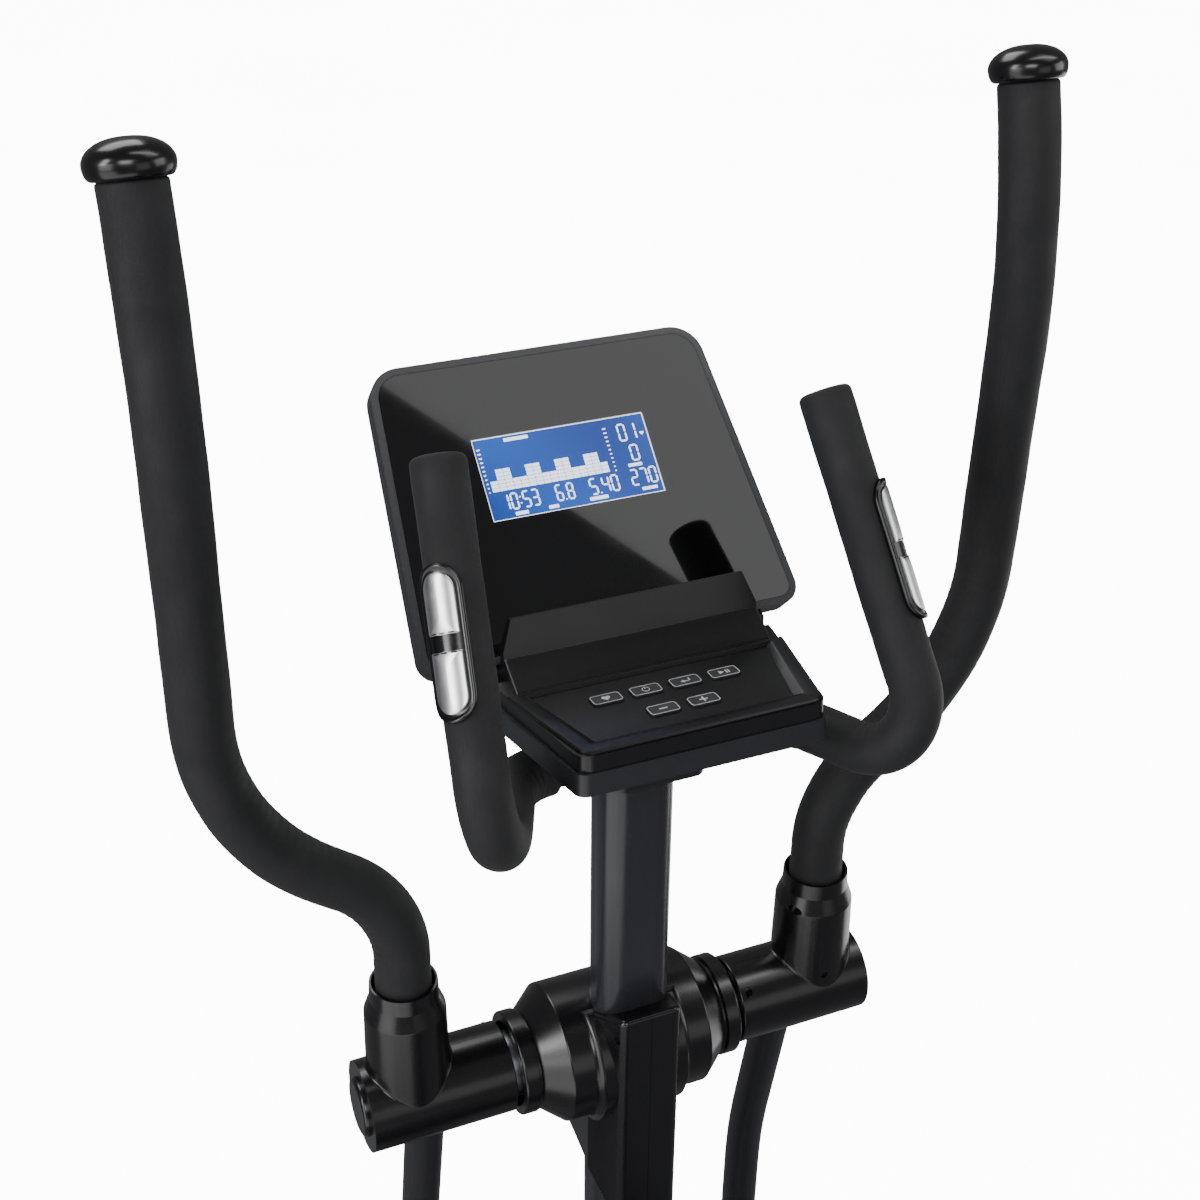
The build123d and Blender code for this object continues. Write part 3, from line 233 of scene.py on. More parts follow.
def grey_iron(name):
    """Turned grey iron: dull metal with a coarse grain and darker oil stains."""
    material, tree, shader = new_material(name, "#6a6a6c", 0.42, metallic=1.0)
    place = grain_bump(tree, shader, 1.2, 0.03, detail=6.0)
    tree.links.new(vary(tree, place, linear("#4b4b4d"), linear("#7a7a7c"), 14), shader.inputs["Base Color"])
    return material


def pale_floor(name):
    """Plain painted studio floor."""
    material, tree, shader = new_material(name, "#f2f2f3", 0.7)
    place = grain_bump(tree, shader, 5.0, 0.02)
    tree.links.new(vary(tree, place, linear("#f0f0f1"), linear("#f5f5f6"), 900), shader.inputs["Base Color"])
    return material


def glowing_wall(name):
    """Back-lit white backdrop cloth, even but for a very faint weave."""
    material, tree, shader = new_material(name, "#f4f4f5", 0.9)
    place = grain_bump(tree, shader, 40.0, 0.1)
    glow = vary(tree, place, linear("#f6f6f7"), linear("#f8f8f9"), 4000)
    tree.links.new(glow, shader.inputs["Emission Color"])
    shader.inputs["Emission Strength"].default_value = 13.0
    return material


FINISH = {
    "frame_paint": powder_coat("powder_coated_steel", "#1b1b1f", "#202024", 0.34),
    "mast_paint": powder_coat("gloss_enamelled_tube", "#26262b", "#2a2a2f", 0.24),
    "shell_black": moulded_abs("black_moulded_abs", "#0b0b0d", "#0e0e11", 0.24),
    "disc_plastic": moulded_abs("satin_moulded_abs_disc", "#0d0d0f", "#101013", 0.4),
    "housing_plastic": moulded_abs("satin_moulded_abs_housing", "#0e0e11", "#121215", 0.44, 0.8, 0.02),
    "foam_grip": nbr_foam("closed_cell_nbr_foam"),
    "cap_gloss": polished_abs("polished_abs_cap", "#08080a"),
    "console_grey": moulded_abs("grey_moulded_abs", "#1c1d21", "#212227", 0.38),
    "console_gloss": cast_acrylic("back_printed_acrylic"),
    "lcd": backlit_lcd("blue_backlit_lcd"),
    "deck_plastic": moulded_abs("deck_moulded_abs", "#09090b", "#0b0b0e", 0.3),
    "keypad": moulded_abs("keypad_overlay_polyester", "#08080a", "#0a0a0c", 0.3, 0.35, 0.006),
    "button_black": moulded_rubber("silicone_key_rubber", "#15161a", 0.5),
    "sensor_steel": brushed_metal("brushed_stainless_steel", "#dcdcde", 0.3, 0.4),
    "zinc_steel": brushed_metal("zinc_plated_steel", "#a8a9ad", 0.34, 0.3),
    "cast_iron": grey_iron("turned_grey_iron"),
    "belt_rubber": moulded_rubber("ribbed_belt_rubber", "#101011"),
    "tread_plastic": moulded_abs("moulded_polypropylene", "#161618", "#1c1c1f", 0.55, 0.9, 0.03),
    "wheel_rubber": moulded_rubber("moulded_wheel_rubber", "#121213"),
    "pulley_plastic": moulded_abs("glass_filled_nylon", "#1f1f21", "#2a2a2c", 0.5, 0.7, 0.02),
}
PRINT = screen_print("silver_pad_print", "#a6a8ae")
SEGMENT = lit_segment("clear_lcd_segment")
SCREW_BLACK = powder_coat("black_oxide_steel", "#0a0a0c", "#0e0e10", 0.3)
# Near-black matt sheet for the keypad throat: painted shade where the deep, concave throat is dark.
THROAT_SHADE_SHEET = moulded_rubber("painted_shade_throat_sheet", "#020203", 0.95, "#040405")

slot_of = {part["node"]: part["material_slot"] for part in frame["record"]["subparts"]}
for name, cad in nodes.items():
    cad.data.materials.clear()
    cad.data.materials.append(FINISH[slot_of[name]])


# ------------------------------------------------------------------ mesh helpers (millimetres from the pivot)
def frame_at(origin, right, up):
    """A working plane: x to the right, y up, z out of its face."""
    right = Vector(right).normalized()
    out = right.cross(Vector(up)).normalized()
    place = Matrix((right, out.cross(right), out)).transposed().to_4x4()
    place.translation = Vector(origin)
    return place


def ring(place, outline, level):
    """A flat outline, lifted to a level above a working plane."""
    return [place @ Vector((u, v, level)) for u, v in outline]


def round_outline(radius, steps=32):
    return [(radius * cos(2 * pi * k / steps), radius * sin(2 * pi * k / steps)) for k in range(steps)]


def rounded_box(width, height, corner, steps=6, centre=(0, 0)):
    """Outline of a rectangle with round corners."""
    corner = max(min(corner, width / 2 - 0.01, height / 2 - 0.01), 0.01)
    outline = []
    for quarter, (sx, sy) in enumerate(((1, 1), (-1, 1), (-1, -1), (1, -1))):
        for k in range(steps + 1):
            angle = pi / 2 * (quarter + k / steps)
            u = centre[0] + sx * (width / 2 - corner) + corner * cos(angle)
            outline.append((u, centre[1] + sy * (height / 2 - corner) + corner * sin(angle)))
    return outline


class Shape:
    """Points and faces gathered before they become one piece."""

    def __init__(self):
        self.points, self.faces = [], []

    def skin(self, rings, loop=False):
        """Joins rings of equally many points; a loop of rings has no ends to close."""
        first, count = len(self.points), len(rings[0])
        for one in rings:
            self.points.extend(one)
        for i in range(len(rings) - (0 if loop else 1)):
            here, there = first + i * count, first + (i + 1) % len(rings) * count
            for k in range(count):
                after = (k + 1) % count
                self.faces.append((here + k, here + after, there + after, there + k))
        if not loop:
            last = first + (len(rings) - 1) * count
            self.faces.append([first + k for k in reversed(range(count))])
            self.faces.append([last + k for k in range(count)])

    def slab(self, place, outline, low, high):
        """A flat plate of any outline."""
        self.skin([ring(place, outline, low), ring(place, outline, high)])

    def frame_band(self, place, outer, inner, low, high):
        """A flat closed band between two outlines."""
        levels = ((outer, low), (outer, high), (inner, high), (inner, low))
        self.skin([ring(place, outline, level) for outline, level in levels], loop=True)

    def turned(self, place, profile, steps=32, loop=False):
        """A turned body from (radius, level) pairs about the plane's z."""
        self.skin([ring(place, round_outline(radius, steps), level) for radius, level in profile], loop)


def make_piece(name, shape, body, slot, finish=None, crease=35):
    """Turns a shape into a named piece that rides on a body."""
    mesh = bpy.data.meshes.new(name)
    mesh.from_pydata([axle + point * MM for point in shape.points], [], shape.faces)
    tidy = bmesh.new()
    tidy.from_mesh(mesh)
    bmesh.ops.recalc_face_normals(tidy, faces=tidy.faces)
    tidy.to_mesh(mesh)
    tidy.free()
    mesh.shade_smooth()
    mesh.set_sharp_from_angle(angle=radians(crease))
    mesh.materials.append(finish or FINISH[slot])
    piece = bpy.data.objects.new(name, mesh)
    bpy.context.scene.collection.objects.link(piece)
    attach(piece, body)
    return piece


def local(node):
    """Low and high corners of a CAD node, in millimetres from the pivot."""
    low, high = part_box(node)
    return (low - axle) / MM, (high - axle) / MM


DISPLAY_FOOT, DISPLAY_UP = Vector((0, 68.8, 397.3)), (0, 0.715, 0.699)
display = frame_at(DISPLAY_FOOT, (1, 0, 0), DISPLAY_UP)
deck = frame_at((0, -80, 337.3), (1, 0, 0), (0, 0.998, -0.0627))


# ------------------------------------------------------------------ foam sleeves
def rounded_route(corners, radii, step):
    """Points about step apart, along straight runs that tangent arcs join."""
    stations = [corners[0]]
    for before, corner, after, radius in zip(corners, corners[1:], corners[2:], radii):
        arrive, leave = (corner - before).normalized(), (after - corner).normalized()
        turn = arrive.angle(leave)
        start = corner - arrive * radius * tan(turn / 2)
        inward = (leave - arrive * leave.dot(arrive)).normalized()
        count = max(2, round(radius * turn / step))
        for k in range(count + 1):
            angle = turn * k / count
            stations.append(start + arrive * radius * sin(angle) + inward * radius * (1 - cos(angle)))
    stations.append(corners[-1])
    route = [stations[0]]
    for start, end in zip(stations, stations[1:]):
        count = max(1, round((end - start).length / step))
        route += [start.lerp(end, (k + 1) / count) for k in range(count)]
    return route


def cross_frames(route):
    """At each route point: run so far, tangent, two cross directions and the bend's inward pull."""
    frames, run = [], 0.0
    tangents = [(b - a).normalized() for a, b in zip(route, route[1:])]
    side = tangents[0].orthogonal().normalized()
    for k, point in enumerate(route):
        arrive, leave = tangents[max(k - 1, 0)], tangents[min(k, len(tangents) - 1)]
        tangent = (arrive + leave).normalized()
        side = (side - tangent * side.dot(tangent)).normalized()
        if k:
            run += (point - route[k - 1]).length
        frames.append((point, run, tangent, side, tangent.cross(side), leave - arrive))
    return frames


def foam_sleeve(name, body, node, route, radius, bore, lip, closed):
    """Foam pushed over a bent tube: rolled ends, an uneven skin, and creases inside the bends."""
    crease_pitch, crease_depth, sway, steps = 8.5, 0.5, 0.14, 56
    fine = (0.0, 0.08, 0.25, 0.55)
    route = (
        [route[0].lerp(route[1], f) for f in fine]
        + route[1:-1]
        + [route[-1].lerp(route[-2], f) for f in reversed(fine)]
    )
    frames = cross_frames(route)
    total = frames[-1][1]
    outer, inner = [], []
    for point, run, tangent, side, across, pull in frames:
        ends_in = min(run, total - run)
        tuck = lip - (lip**2 - (lip - min(ends_in, lip)) ** 2) ** 0.5
        bend = min(pull.length * 45, 1.0)
        wave = 0.5 + 0.5 * sin(2 * pi * run / crease_pitch + 0.6 * sin(run / 21))
        rim, hole = [], []
        for k in range(steps):
            angle = 2 * pi * k / steps
            out = side * cos(angle) + across * sin(angle)
            inside = max(0.0, out.dot(pull.normalized())) ** 2 if pull.length > 1e-5 else 0.0
            uneven = sway * sin(run / 19 + 2 * angle) + 0.5 * sway * sin(run / 7.3 - 3 * angle)
            reach = radius - tuck + uneven * min(1.0, ends_in / 12) - crease_depth * inside * bend * wave
            rim.append(point + out * reach)
            hole.append(point + out * bore)
        outer.append(rim)
        inner.append(hole)
    shape = Shape()
    if closed:
        shape.skin(outer)
    else:
        shape.skin(outer + inner[::-1], loop=True)
    sleeve = make_piece(name, shape, body, "foam_grip", crease=60)
    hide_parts(node)
    return sleeve


def mirrored(points, side):
    return [Vector((side * x, y, z)) for x, y, z in points]


HANDS = ((-1, "left"), (1, "right"))
ROUTE_STEP = 1.6
HANDLE_CORNERS = ((158, 0, 98), (158, 0, 170), (272, 0, 256), (272, -9.4, 575), (272, 14, 661))
HANDLE_BENDS, HANDLE_FOAM, HANDLE_BORE, HANDLE_LIP = (90, 166, 540), 19.25, 16.05, 2.0
GRIP_CORNERS = ((66, -44, 279.5), (94, -44, 279.5), (146, -159, 287), (125, -17, 493))
GRIP_BENDS, GRIP_FOAM, GRIP_BORE, GRIP_LIP = (38, 38), 16.7, 12.75, 4.0
for side, hand in HANDS:
    route = rounded_route(mirrored(HANDLE_CORNERS, side), HANDLE_BENDS, ROUTE_STEP)
    sizes = (HANDLE_FOAM, HANDLE_BORE, HANDLE_LIP)
    foam_sleeve(f"{hand}_handle_foam", f"{hand}_swing", f"{hand}_handle_grip", route, *sizes, closed=False)
    route = rounded_route(mirrored(GRIP_CORNERS, side), GRIP_BENDS, ROUTE_STEP)
    sizes = (GRIP_FOAM, GRIP_BORE, GRIP_LIP)
    foam_sleeve(f"{hand}_pulse_grip_foam", "frame", "fixed_grips", route, *sizes, closed=True)


def handle_knob(hand, side):
    """Squashed-ball cap, a little wider than the sleeve, with a soft fold where it meets the foam."""
    radius, rise, waist, foot_radius, lift = 24.3, 13.4, 8.3, 19.3, 0.1
    fold_steps, crown_steps = 12, 24
    before, end = mirrored(HANDLE_CORNERS[-2:], side)
    nod = (end - before).normalized()
    place = frame_at(end, (1, 0, 0), (0, nod.z, -nod.y))
    profile = [(foot_radius - 2.0, lift)]
    for k in range(fold_steps + 1):
        turn = pi / 2 * (1 - k / fold_steps)
        out = foot_radius + (radius - foot_radius) * cos(turn) ** 0.8
        profile.append((out, waist * (1 - sin(turn)) + lift))
    for k in range(1, crown_steps):
        turn = pi / 2 * k / crown_steps
        profile.append((radius * cos(turn) ** 0.86, waist + lift + rise * sin(turn) ** 1.05))
    shape = Shape()
    shape.turned(place, profile, 64)
    knob = make_piece(f"{hand}_handle_knob", shape, f"{hand}_swing", "cap_gloss", crease=60)
    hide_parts(f"{hand}_handle_cap")


for side, hand in HANDS:
    handle_knob(hand, side)


# ------------------------------------------------------------------ pulse sensors
def sensor_place(side):
    """Working frame at a sensor's middle: x round the grip, y up the grip, z away from it."""
    low, top = mirrored(GRIP_CORNERS[2:], side)
    along = (top - low).normalized()
    outward = Vector((side, -1, 0))
    outward = (outward - along * outward.dot(along)).normalized()
    return frame_at(top - along * 107, along.cross(outward), along)


def stadium(width, length, round_low=True, round_high=True, steps=14):
    """Outline of a slot along y; an end that isn't round is square with small corners."""
    outline = []
    for sign, is_round in ((1, round_high), (-1, round_low)):
        corner = width / 2 if is_round else min(1.2, width / 2)
        for k in range(steps + 1):
            angle = pi * k / steps
            shift = (width / 2 - corner) * (1 if angle < pi / 2 else -1 if angle > pi / 2 else 0)
            u = sign * (shift + corner * cos(angle))
            outline.append((u, sign * (length / 2 - corner + corner * sin(angle))))
    return outline


def wrapped(place, outline, radius, shift=0.0):
    """Lays an outline on the round of the grip, at a radius from its centre line."""
    nominal = 18.5
    return [
        place @ Vector((radius * sin(u / nominal), v + shift, radius * cos(u / nominal))) for u, v in outline
    ]


def pulse_sensor(hand, side):
    """Glossy holder with a raised rim, and two brushed plates either side of a black bridge."""
    place = sensor_place(side)
    holder = Shape()
    steps = ((0, 15.5), (0, 19.3), (0.5, 20.1), (1.2, 20.35), (2.2, 20.2), (2.9, 19.6), (3.4, 19.35))
    rings = [wrapped(place, stadium(30 - 2 * inset, 90 - 2 * inset), radius) for inset, radius in steps]
    rings += [wrapped(place, stadium(30 - 2 * inset, 90 - 2 * inset), 19.35) for inset in (6, 9, 12, 14.5)]
    holder.skin(rings)
    piece = make_piece(f"{hand}_sensor_holder", holder, "frame", "cap_gloss", crease=50)
    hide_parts("sensor_housings")
    plates = Shape()
    for half in (-1, 1):
        edge = ((0, 18.9), (0, 19.75), (0.35, 20.0), (0.8, 20.08), (3.5, 20.12), (6.5, 20.12), (9.4, 20.12))
        plates.skin(
            [
                wrapped(
                    place,
                    stadium(20.6 - 2 * inset, 35.2 - 2 * inset, half < 0, half > 0),
                    radius,
                    half * 22.3,
                )
                for inset, radius in edge
            ]
        )
    steel = make_piece(f"{hand}_sensor_steel_plates", plates, "frame", "sensor_steel", crease=50)
    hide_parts("sensor_plates")
    dashes = Shape()
    for half in (-1, 1):
        for u in (-5.6, 0, 5.6):
            outline = rounded_box(3.4, 0.7, 0.3, 2, centre=(u, 0))
            lifts = (19.3, 20.18)
            dashes.skin([wrapped(place, outline, radius, half * 5.6) for radius in lifts])
    make_piece(f"{hand}_sensor_bridge_ribs", dashes, "frame", "cap_gloss")


for side, hand in HANDS:
    pulse_sensor(hand, side)


# ------------------------------------------------------------------ display print
LCD_WIDTH, LCD_HEIGHT, LCD_MIDDLE = 122.0, 57.6, 28.8
GLASS, PRINT_TOP = -1.05, -0.85
SEGMENT_ENDS = {
    "a": ((0, 2), (1, 2)),
    "b": ((1, 2), (1, 1)),
    "c": ((1, 1), (1, 0)),
    "d": ((0, 0), (1, 0)),
    "e": ((0, 1), (0, 0)),
    "f": ((0, 2), (0, 1)),
    "g": ((0, 1), (1, 1)),
}
LIT = ("abcdef", "bc", "abged", "abgcd", "fgbc", "afgcd", "afgedc", "abc", "abcdefg", "abfgcd")


def on_lcd(across, down):
    """A point of the display, from fractions of its width and height."""
    return (across - 0.5) * LCD_WIDTH, LCD_MIDDLE + (0.5 - down) * LCD_HEIGHT


def bar_outline(start, end, width):
    """A stroke with pointed ends, as a display segment has."""
    start, end = Vector(start), Vector(end)
    along = (end - start).normalized()
    side = Vector((-along.y, along.x)) * width / 2
    near, far = start + along * width / 2, end - along * width / 2
    return [tuple(p) for p in (start, near - side, far - side, end, far + side, near + side)]


def digits(shape, text, left, right, top, bottom):
    """Numbers in seven segments, spread between two edges of the display."""
    spaces = sum(0.35 if mark in ".:" else 1 for mark in text)
    (x_low, y_high), (x_high, y_low) = on_lcd(left, top), on_lcd(right, bottom)
    pitch = (x_high - x_low) / spaces
    tall, wide, stroke = y_high - y_low, pitch * 0.66, 1.15
    x = x_low
    for mark in text:
        if mark in ".:":
            for level in (0.02,) if mark == "." else (0.3, 0.7):
                dot = rounded_box(1.1, 1.1, 0.5, 3, (x, y_low + level * tall))
                shape.slab(display, dot, GLASS, PRINT_TOP)
            x += pitch * 0.35
            continue
        for name in LIT[int(mark)]:
            ends = [(x + u * wide, y_low + v * tall / 2) for u, v in SEGMENT_ENDS[name]]
            first, last = Vector(ends[0]), Vector(ends[1])
            gap = (last - first).normalized() * 0.22
            shape.slab(display, bar_outline(first + gap, last - gap, stroke), GLASS, PRINT_TOP)
        x += pitch


def lcd_print():
    """Border, level columns, tick scales, read-outs and blank label boxes of the display."""
    shape = Shape()
    centre = (0, LCD_MIDDLE)
    outer = rounded_box(LCD_WIDTH - 0.2, LCD_HEIGHT - 0.2, 0.3, 2, centre)
    inner = rounded_box(LCD_WIDTH - 1.5, LCD_HEIGHT - 1.5, 0.3, 2, centre)
    shape.frame_band(display, outer, inner, GLASS, PRINT_TOP)
    columns, first, last, baseline = 16, 0.043, 0.72, 0.655
    pitch, brick = (last - first) * LCD_WIDTH / columns, 2.55
    for column in range(columns):
        tall = 6 if (column % 4) in (1, 2) and column not in (0, 15) else 3
        for level in range(tall):
            u, v = on_lcd(first, baseline)
            middle_of = (u + (column + 0.5) * pitch, v + (level + 0.5) * brick)
            outline = rounded_box(pitch - 0.3, brick - 0.3, 0.15, 1, middle_of)
            shape.slab(display, outline, GLASS, PRINT_TOP)
    for across in (0.026, 0.755):
        for tick in range(11):
            u, v = on_lcd(across, 0.13 + 0.052 * tick)
            width = 2.4 - 0.13 * tick
            shape.slab(display, rounded_box(width, 0.9, 0.2, 1, (u, v)), GLASS, PRINT_TOP)
    digits(shape, "10:53", 0.08, 0.3, 0.7, 0.885)
    digits(shape, "6.8", 0.387, 0.5, 0.7, 0.885)
    digits(shape, "5.40", 0.585, 0.765, 0.7, 0.885)
    digits(shape, "270", 0.83, 0.995, 0.68, 0.865)
    digits(shape, "01", 0.832, 0.95, 0.11, 0.31)
    digits(shape, "0", 0.87, 0.932, 0.38, 0.565)
    for across, down, wide in ((0.25, 0.06, 17), (0.17, 0.945, 9), (0.353, 0.94, 7), (0.616, 0.935, 13)):
        shape.slab(display, rounded_box(wide, 2.4, 0.4, 2, on_lcd(across, down)), GLASS, PRINT_TOP)
    for across, down, wide in ((0.918, 0.925, 11), (0.874, 0.619, 10)):
        shape.slab(display, rounded_box(wide, 2.2, 0.4, 2, on_lcd(across, down)), GLASS, PRINT_TOP)
    heart = heart_outline(3.0, on_lcd(0.965, 0.25))
    shape.slab(display, heart, GLASS, PRINT_TOP)
    make_piece("lcd_lit_segments", shape, "frame", "lcd", SEGMENT)


# ------------------------------------------------------------------ key print
def heart_outline(width, centre):
    """The usual heart curve, scaled to a width."""
    outline, steps = [], 28
    for k in range(steps):
        t = 2 * pi * (k + 0.5) / steps
        u = 16 * sin(t) ** 3
        v = 13 * cos(t) - 5 * cos(2 * t) - 2 * cos(3 * t) - cos(4 * t)
        outline.append((centre[0] - u * width / 32, centre[1] + v * width / 32))
    return outline


def stroke(shape, place, corners, width, low, high):
    """Straight strokes of ink with round ends."""
    for (u0, v0), (u1, v1) in zip(corners, corners[1:]):
        angle = atan2(v1 - v0, u1 - u0)
        outline = []
        for end, (u, v) in ((1, (u1, v1)), (-1, (u0, v0))):
            for k in range(7):
                turn = angle + (0 if end > 0 else pi) - pi / 2 + pi * k / 6
                outline.append((u + width / 2 * cos(turn), v + width / 2 * sin(turn)))
        shape.slab(place, outline, low, high)


def arc_points(radius, start, end, centre, steps=14):
    angles = [radians(start + (end - start) * k / steps) for k in range(steps + 1)]
    return [(centre[0] + radius * cos(a), centre[1] + radius * sin(a)) for a in angles]


KEYS = {
    "recovery": (-39.6, 15.0),
    "reset": (-13.3, 15.0),
    "enter": (13.2, 15.0),
    "start": (39.6, 15.0),
    "down": (-13.4, -10.5),
    "up": (13.4, -10.5),
}


def key_icon(shape, name, place, low, high):
    """The generic sign on one key: heart, power, return arrow, play and pause, minus or plus."""
    if name == "recovery":
        shape.slab(place, heart_outline(5.6, (0, 0.3)), low, high)
    elif name == "reset":
        stroke(shape, place, arc_points(2.3, 125, 415, (0, 0), 18), 0.55, low, high)
        stroke(shape, place, [(0, 0.9), (0, 3.0)], 0.6, low, high)
    elif name == "enter":
        stroke(shape, place, [(3.0, 2.2), (3.0, -0.6), (-1.0, -0.6)], 0.75, low, high)
        shape.slab(place, [(-3.4, -0.6), (-0.8, -2.3), (-0.8, 1.1)], low, high)
    elif name == "start":
        shape.slab(place, [(-3.2, -2.0), (0.2, 0), (-3.2, 2.0)], low, high)
        for u in (1.7, 3.4):
            shape.slab(place, rounded_box(0.9, 3.9, 0.1, 1, (u, 0)), low, high)
    else:
        shape.slab(place, rounded_box(5.4, 1.15, 0.2, 2), low, high)
        if name == "up":
            for sign in (-1, 1):
                shape.slab(place, rounded_box(1.15, 2.1, 0.2, 2, (0, sign * 1.63)), low, high)


def key_prints():
    """A silver outline and its sign on every key cap."""
    cap_top, film = 1.0, 0.12
    for name, (u, v) in KEYS.items():
        place = deck @ Matrix.Translation((u, v, 0))
        shape = Shape()
        outer, inner = rounded_box(19.2, 10.2, 2.3, 8), rounded_box(18.3, 9.3, 1.9, 8)
        shape.frame_band(place, outer, inner, cap_top - 0.25, cap_top + film)
        key_icon(shape, name, place, cap_top - 0.05, cap_top + film)
        make_piece(f"{name}_key_print", shape, f"button_{name}_key", "button_black", PRINT)


lcd_print()
key_prints()


# ------------------------------------------------------------------ screws
def cross_outline(arm, width, steps=32):
    """Outline of a cross recess, as many points round as a screw head has."""
    outline = []
    for k in range(steps):
        angle = 2 * pi * (k + 0.5) / steps
        u, v = abs(cos(angle)), abs(sin(angle))
        along, across = max(u, v), min(u, v)
        reach = arm / along if across / along < width / 2 / arm else width / 2 / across
        outline.append((reach * cos(angle), reach * sin(angle)))
    return outline


def screw_head(shape, place, radius):
    """Pan head with a sunk cross."""
    profile = ((0.7, 0.0), (1.0, 0.12), (1.0, 0.35), (0.9, 0.52), (0.72, 0.6))
    rings = [ring(place, round_outline(radius * r), radius * z) for r, z in profile]
    rings.append(ring(place, cross_outline(0.55 * radius, 0.24 * radius), radius * 0.62))
    rings.append(ring(place, cross_outline(0.45 * radius, 0.16 * radius), radius * 0.25))
    shape.skin(rings)


def facing(origin, way):
    """A working plane whose face looks along X or Y, z staying up; way is +x, -x, +y or -y."""
    rights = {"+x": (0, 1, 0), "-x": (0, -1, 0), "+y": (-1, 0, 0), "-y": (1, 0, 0)}
    return frame_at(origin, rights[way], (0, 0, 1))


def cover_screws():
    """Screws sunk in the joint covers and in the sides of the mast cover."""
    sunk = ((95.6, 20.0, 23), (155, 26.6, 25), (135, 12.6, 81))
    for side, hand, way in ((-1, "left", "+y"), (1, "right", "-y")):
        shape = Shape()
        for x, depth, z in sunk:
            screw_head(shape, facing((side * x, -side * depth, z), way), 2.6)
        make_piece(f"{hand}_tee_cover_screws", shape, f"{hand}_swing", "zinc_steel", SCREW_BLACK)
        column = Shape()
        screw_head(column, facing((side * 20.6, -54, 46), "+x" if side > 0 else "-x"), 2.6)
        make_piece(f"{hand}_mast_cover_screw", column, "frame", "zinc_steel", SCREW_BLACK)


# ------------------------------------------------------------------ footplates
def footplate_mats():
    """Ribbed rubber mat laid in each footplate."""
    pivot = Vector((0, 60, -625))
    tilt_degrees, mat_width, mat_length = 9.594, 116.0, 338.0
    from_pivot, above_arm, from_middle = 600, 31.3, 157
    rows, pitch = 13, 23.0
    for side, hand in HANDS:
        tilt = radians(tilt_degrees) * -side
        along, up = Vector((0, -cos(tilt), sin(tilt))), Vector((0, sin(tilt), cos(tilt)))
        seat = pivot + along * from_pivot + up * above_arm + Vector((side * from_middle, 0, 0))
        place = frame_at(seat, (1, 0, 0), -along)
        shape = Shape()
        levels = ((0, -0.2), (0, 0.9), (0.8, 1.4))
        shape.skin(
            [ring(place, rounded_box(mat_width - 2 * i, mat_length - 2 * i, 36 - i), z) for i, z in levels]
        )
        for row in range(rows):
            v = (row - (rows - 1) / 2) * pitch
            half = 50.0 if abs(row - (rows - 1) / 2) < 5.5 else 36.0
            for hand_side in (-1, 1):
                ends = [(hand_side * 4, v + 6), (hand_side * half, v - 6)]
                stroke(shape, place, ends, 5.0, 1.0, 3.2)
                stroke(shape, place, ends, 3.4, 3.2, 3.9)
        make_piece(f"{hand}_footplate_mat", shape, f"{hand}_pedal", "tread_plastic", FINISH["wheel_rubber"])


# ------------------------------------------------------------------ crank discs
def disc_trim():
    """Raised rays and rings on each crank disc, and a domed cap over its axle bolt."""
    centre = (crank - axle) / MM
    for side, hand, way in ((-1, "left", "-x"), (1, "right", "+x")):
        place = facing((0, centre.y, centre.z), way)
        shape = Shape()
        for ray in range(12):
            angle = radians(15 + 30 * ray)
            ends = [(r * cos(angle), r * sin(angle)) for r in (84, 178)]
            stroke(shape, place, ends, 9.0, 78.0, 81.8)
            stroke(shape, place, ends, 6.5, 81.8, 82.5)
        for radius in (70.0, 190.0):
            crown = ((3.2, 79.5), (3.0, 82.0), (1.6, 82.8), (-1.6, 82.8), (-3.0, 82.0), (-3.2, 79.5))
            shape.turned(place, [(radius + out, level) for out, level in crown], 96, loop=True)
        make_piece(f"{hand}_crank_disc_rays", shape, "crank", "disc_plastic")
        cap = Shape()
        dome = ((30, 81.0), (30, 82.2), (28.5, 83.4), (24, 84.4), (14, 85.2), (13, 84.4), (6, 84.2))
        cap.turned(place, dome, 64)
        make_piece(f"{hand}_crank_axle_cap", cap, "crank", "disc_plastic", FINISH["cap_gloss"])


# ------------------------------------------------------------------ drive housings
def housing_details():
    """Louvres, and screw bosses with screws, on each half of the housing."""
    face, ground = 60.0, -axle / MM
    bosses = ((30, 152), (-52, 352), (-150, 428), (-150, 150))
    for side, hand, way in ((-1, "left", "-x"), (1, "right", "+x")):
        place = facing((0, ground.y, ground.z), way)
        louvres, screws = Shape(), Shape()
        for row in range(6):
            z = 190 + 15 * row
            ends = [(side * (-118 + 3 * row), z), (side * (8 - 9 * row), z + 6)]
            stroke(louvres, place, ends, 8.0, face - 0.5, face + 1.4)
            stroke(louvres, place, ends, 5.0, face + 1.4, face + 2.4)
        for y, z in bosses:
            boss = place @ Matrix.Translation((side * y, z, 0))
            rise = ((10, -0.5), (10, 0.6), (8.8, 1.8), (5.2, 1.8), (5.0, 0.4))
            louvres.turned(boss, [(radius, face + level) for radius, level in rise], 40)
            screw_head(screws, boss @ Matrix.Translation((0, 0, face + 0.4)), 3.8)
        make_piece(f"{hand}_housing_louvres", louvres, "frame", "housing_plastic")
        make_piece(f"{hand}_housing_screws", screws, "frame", "zinc_steel")


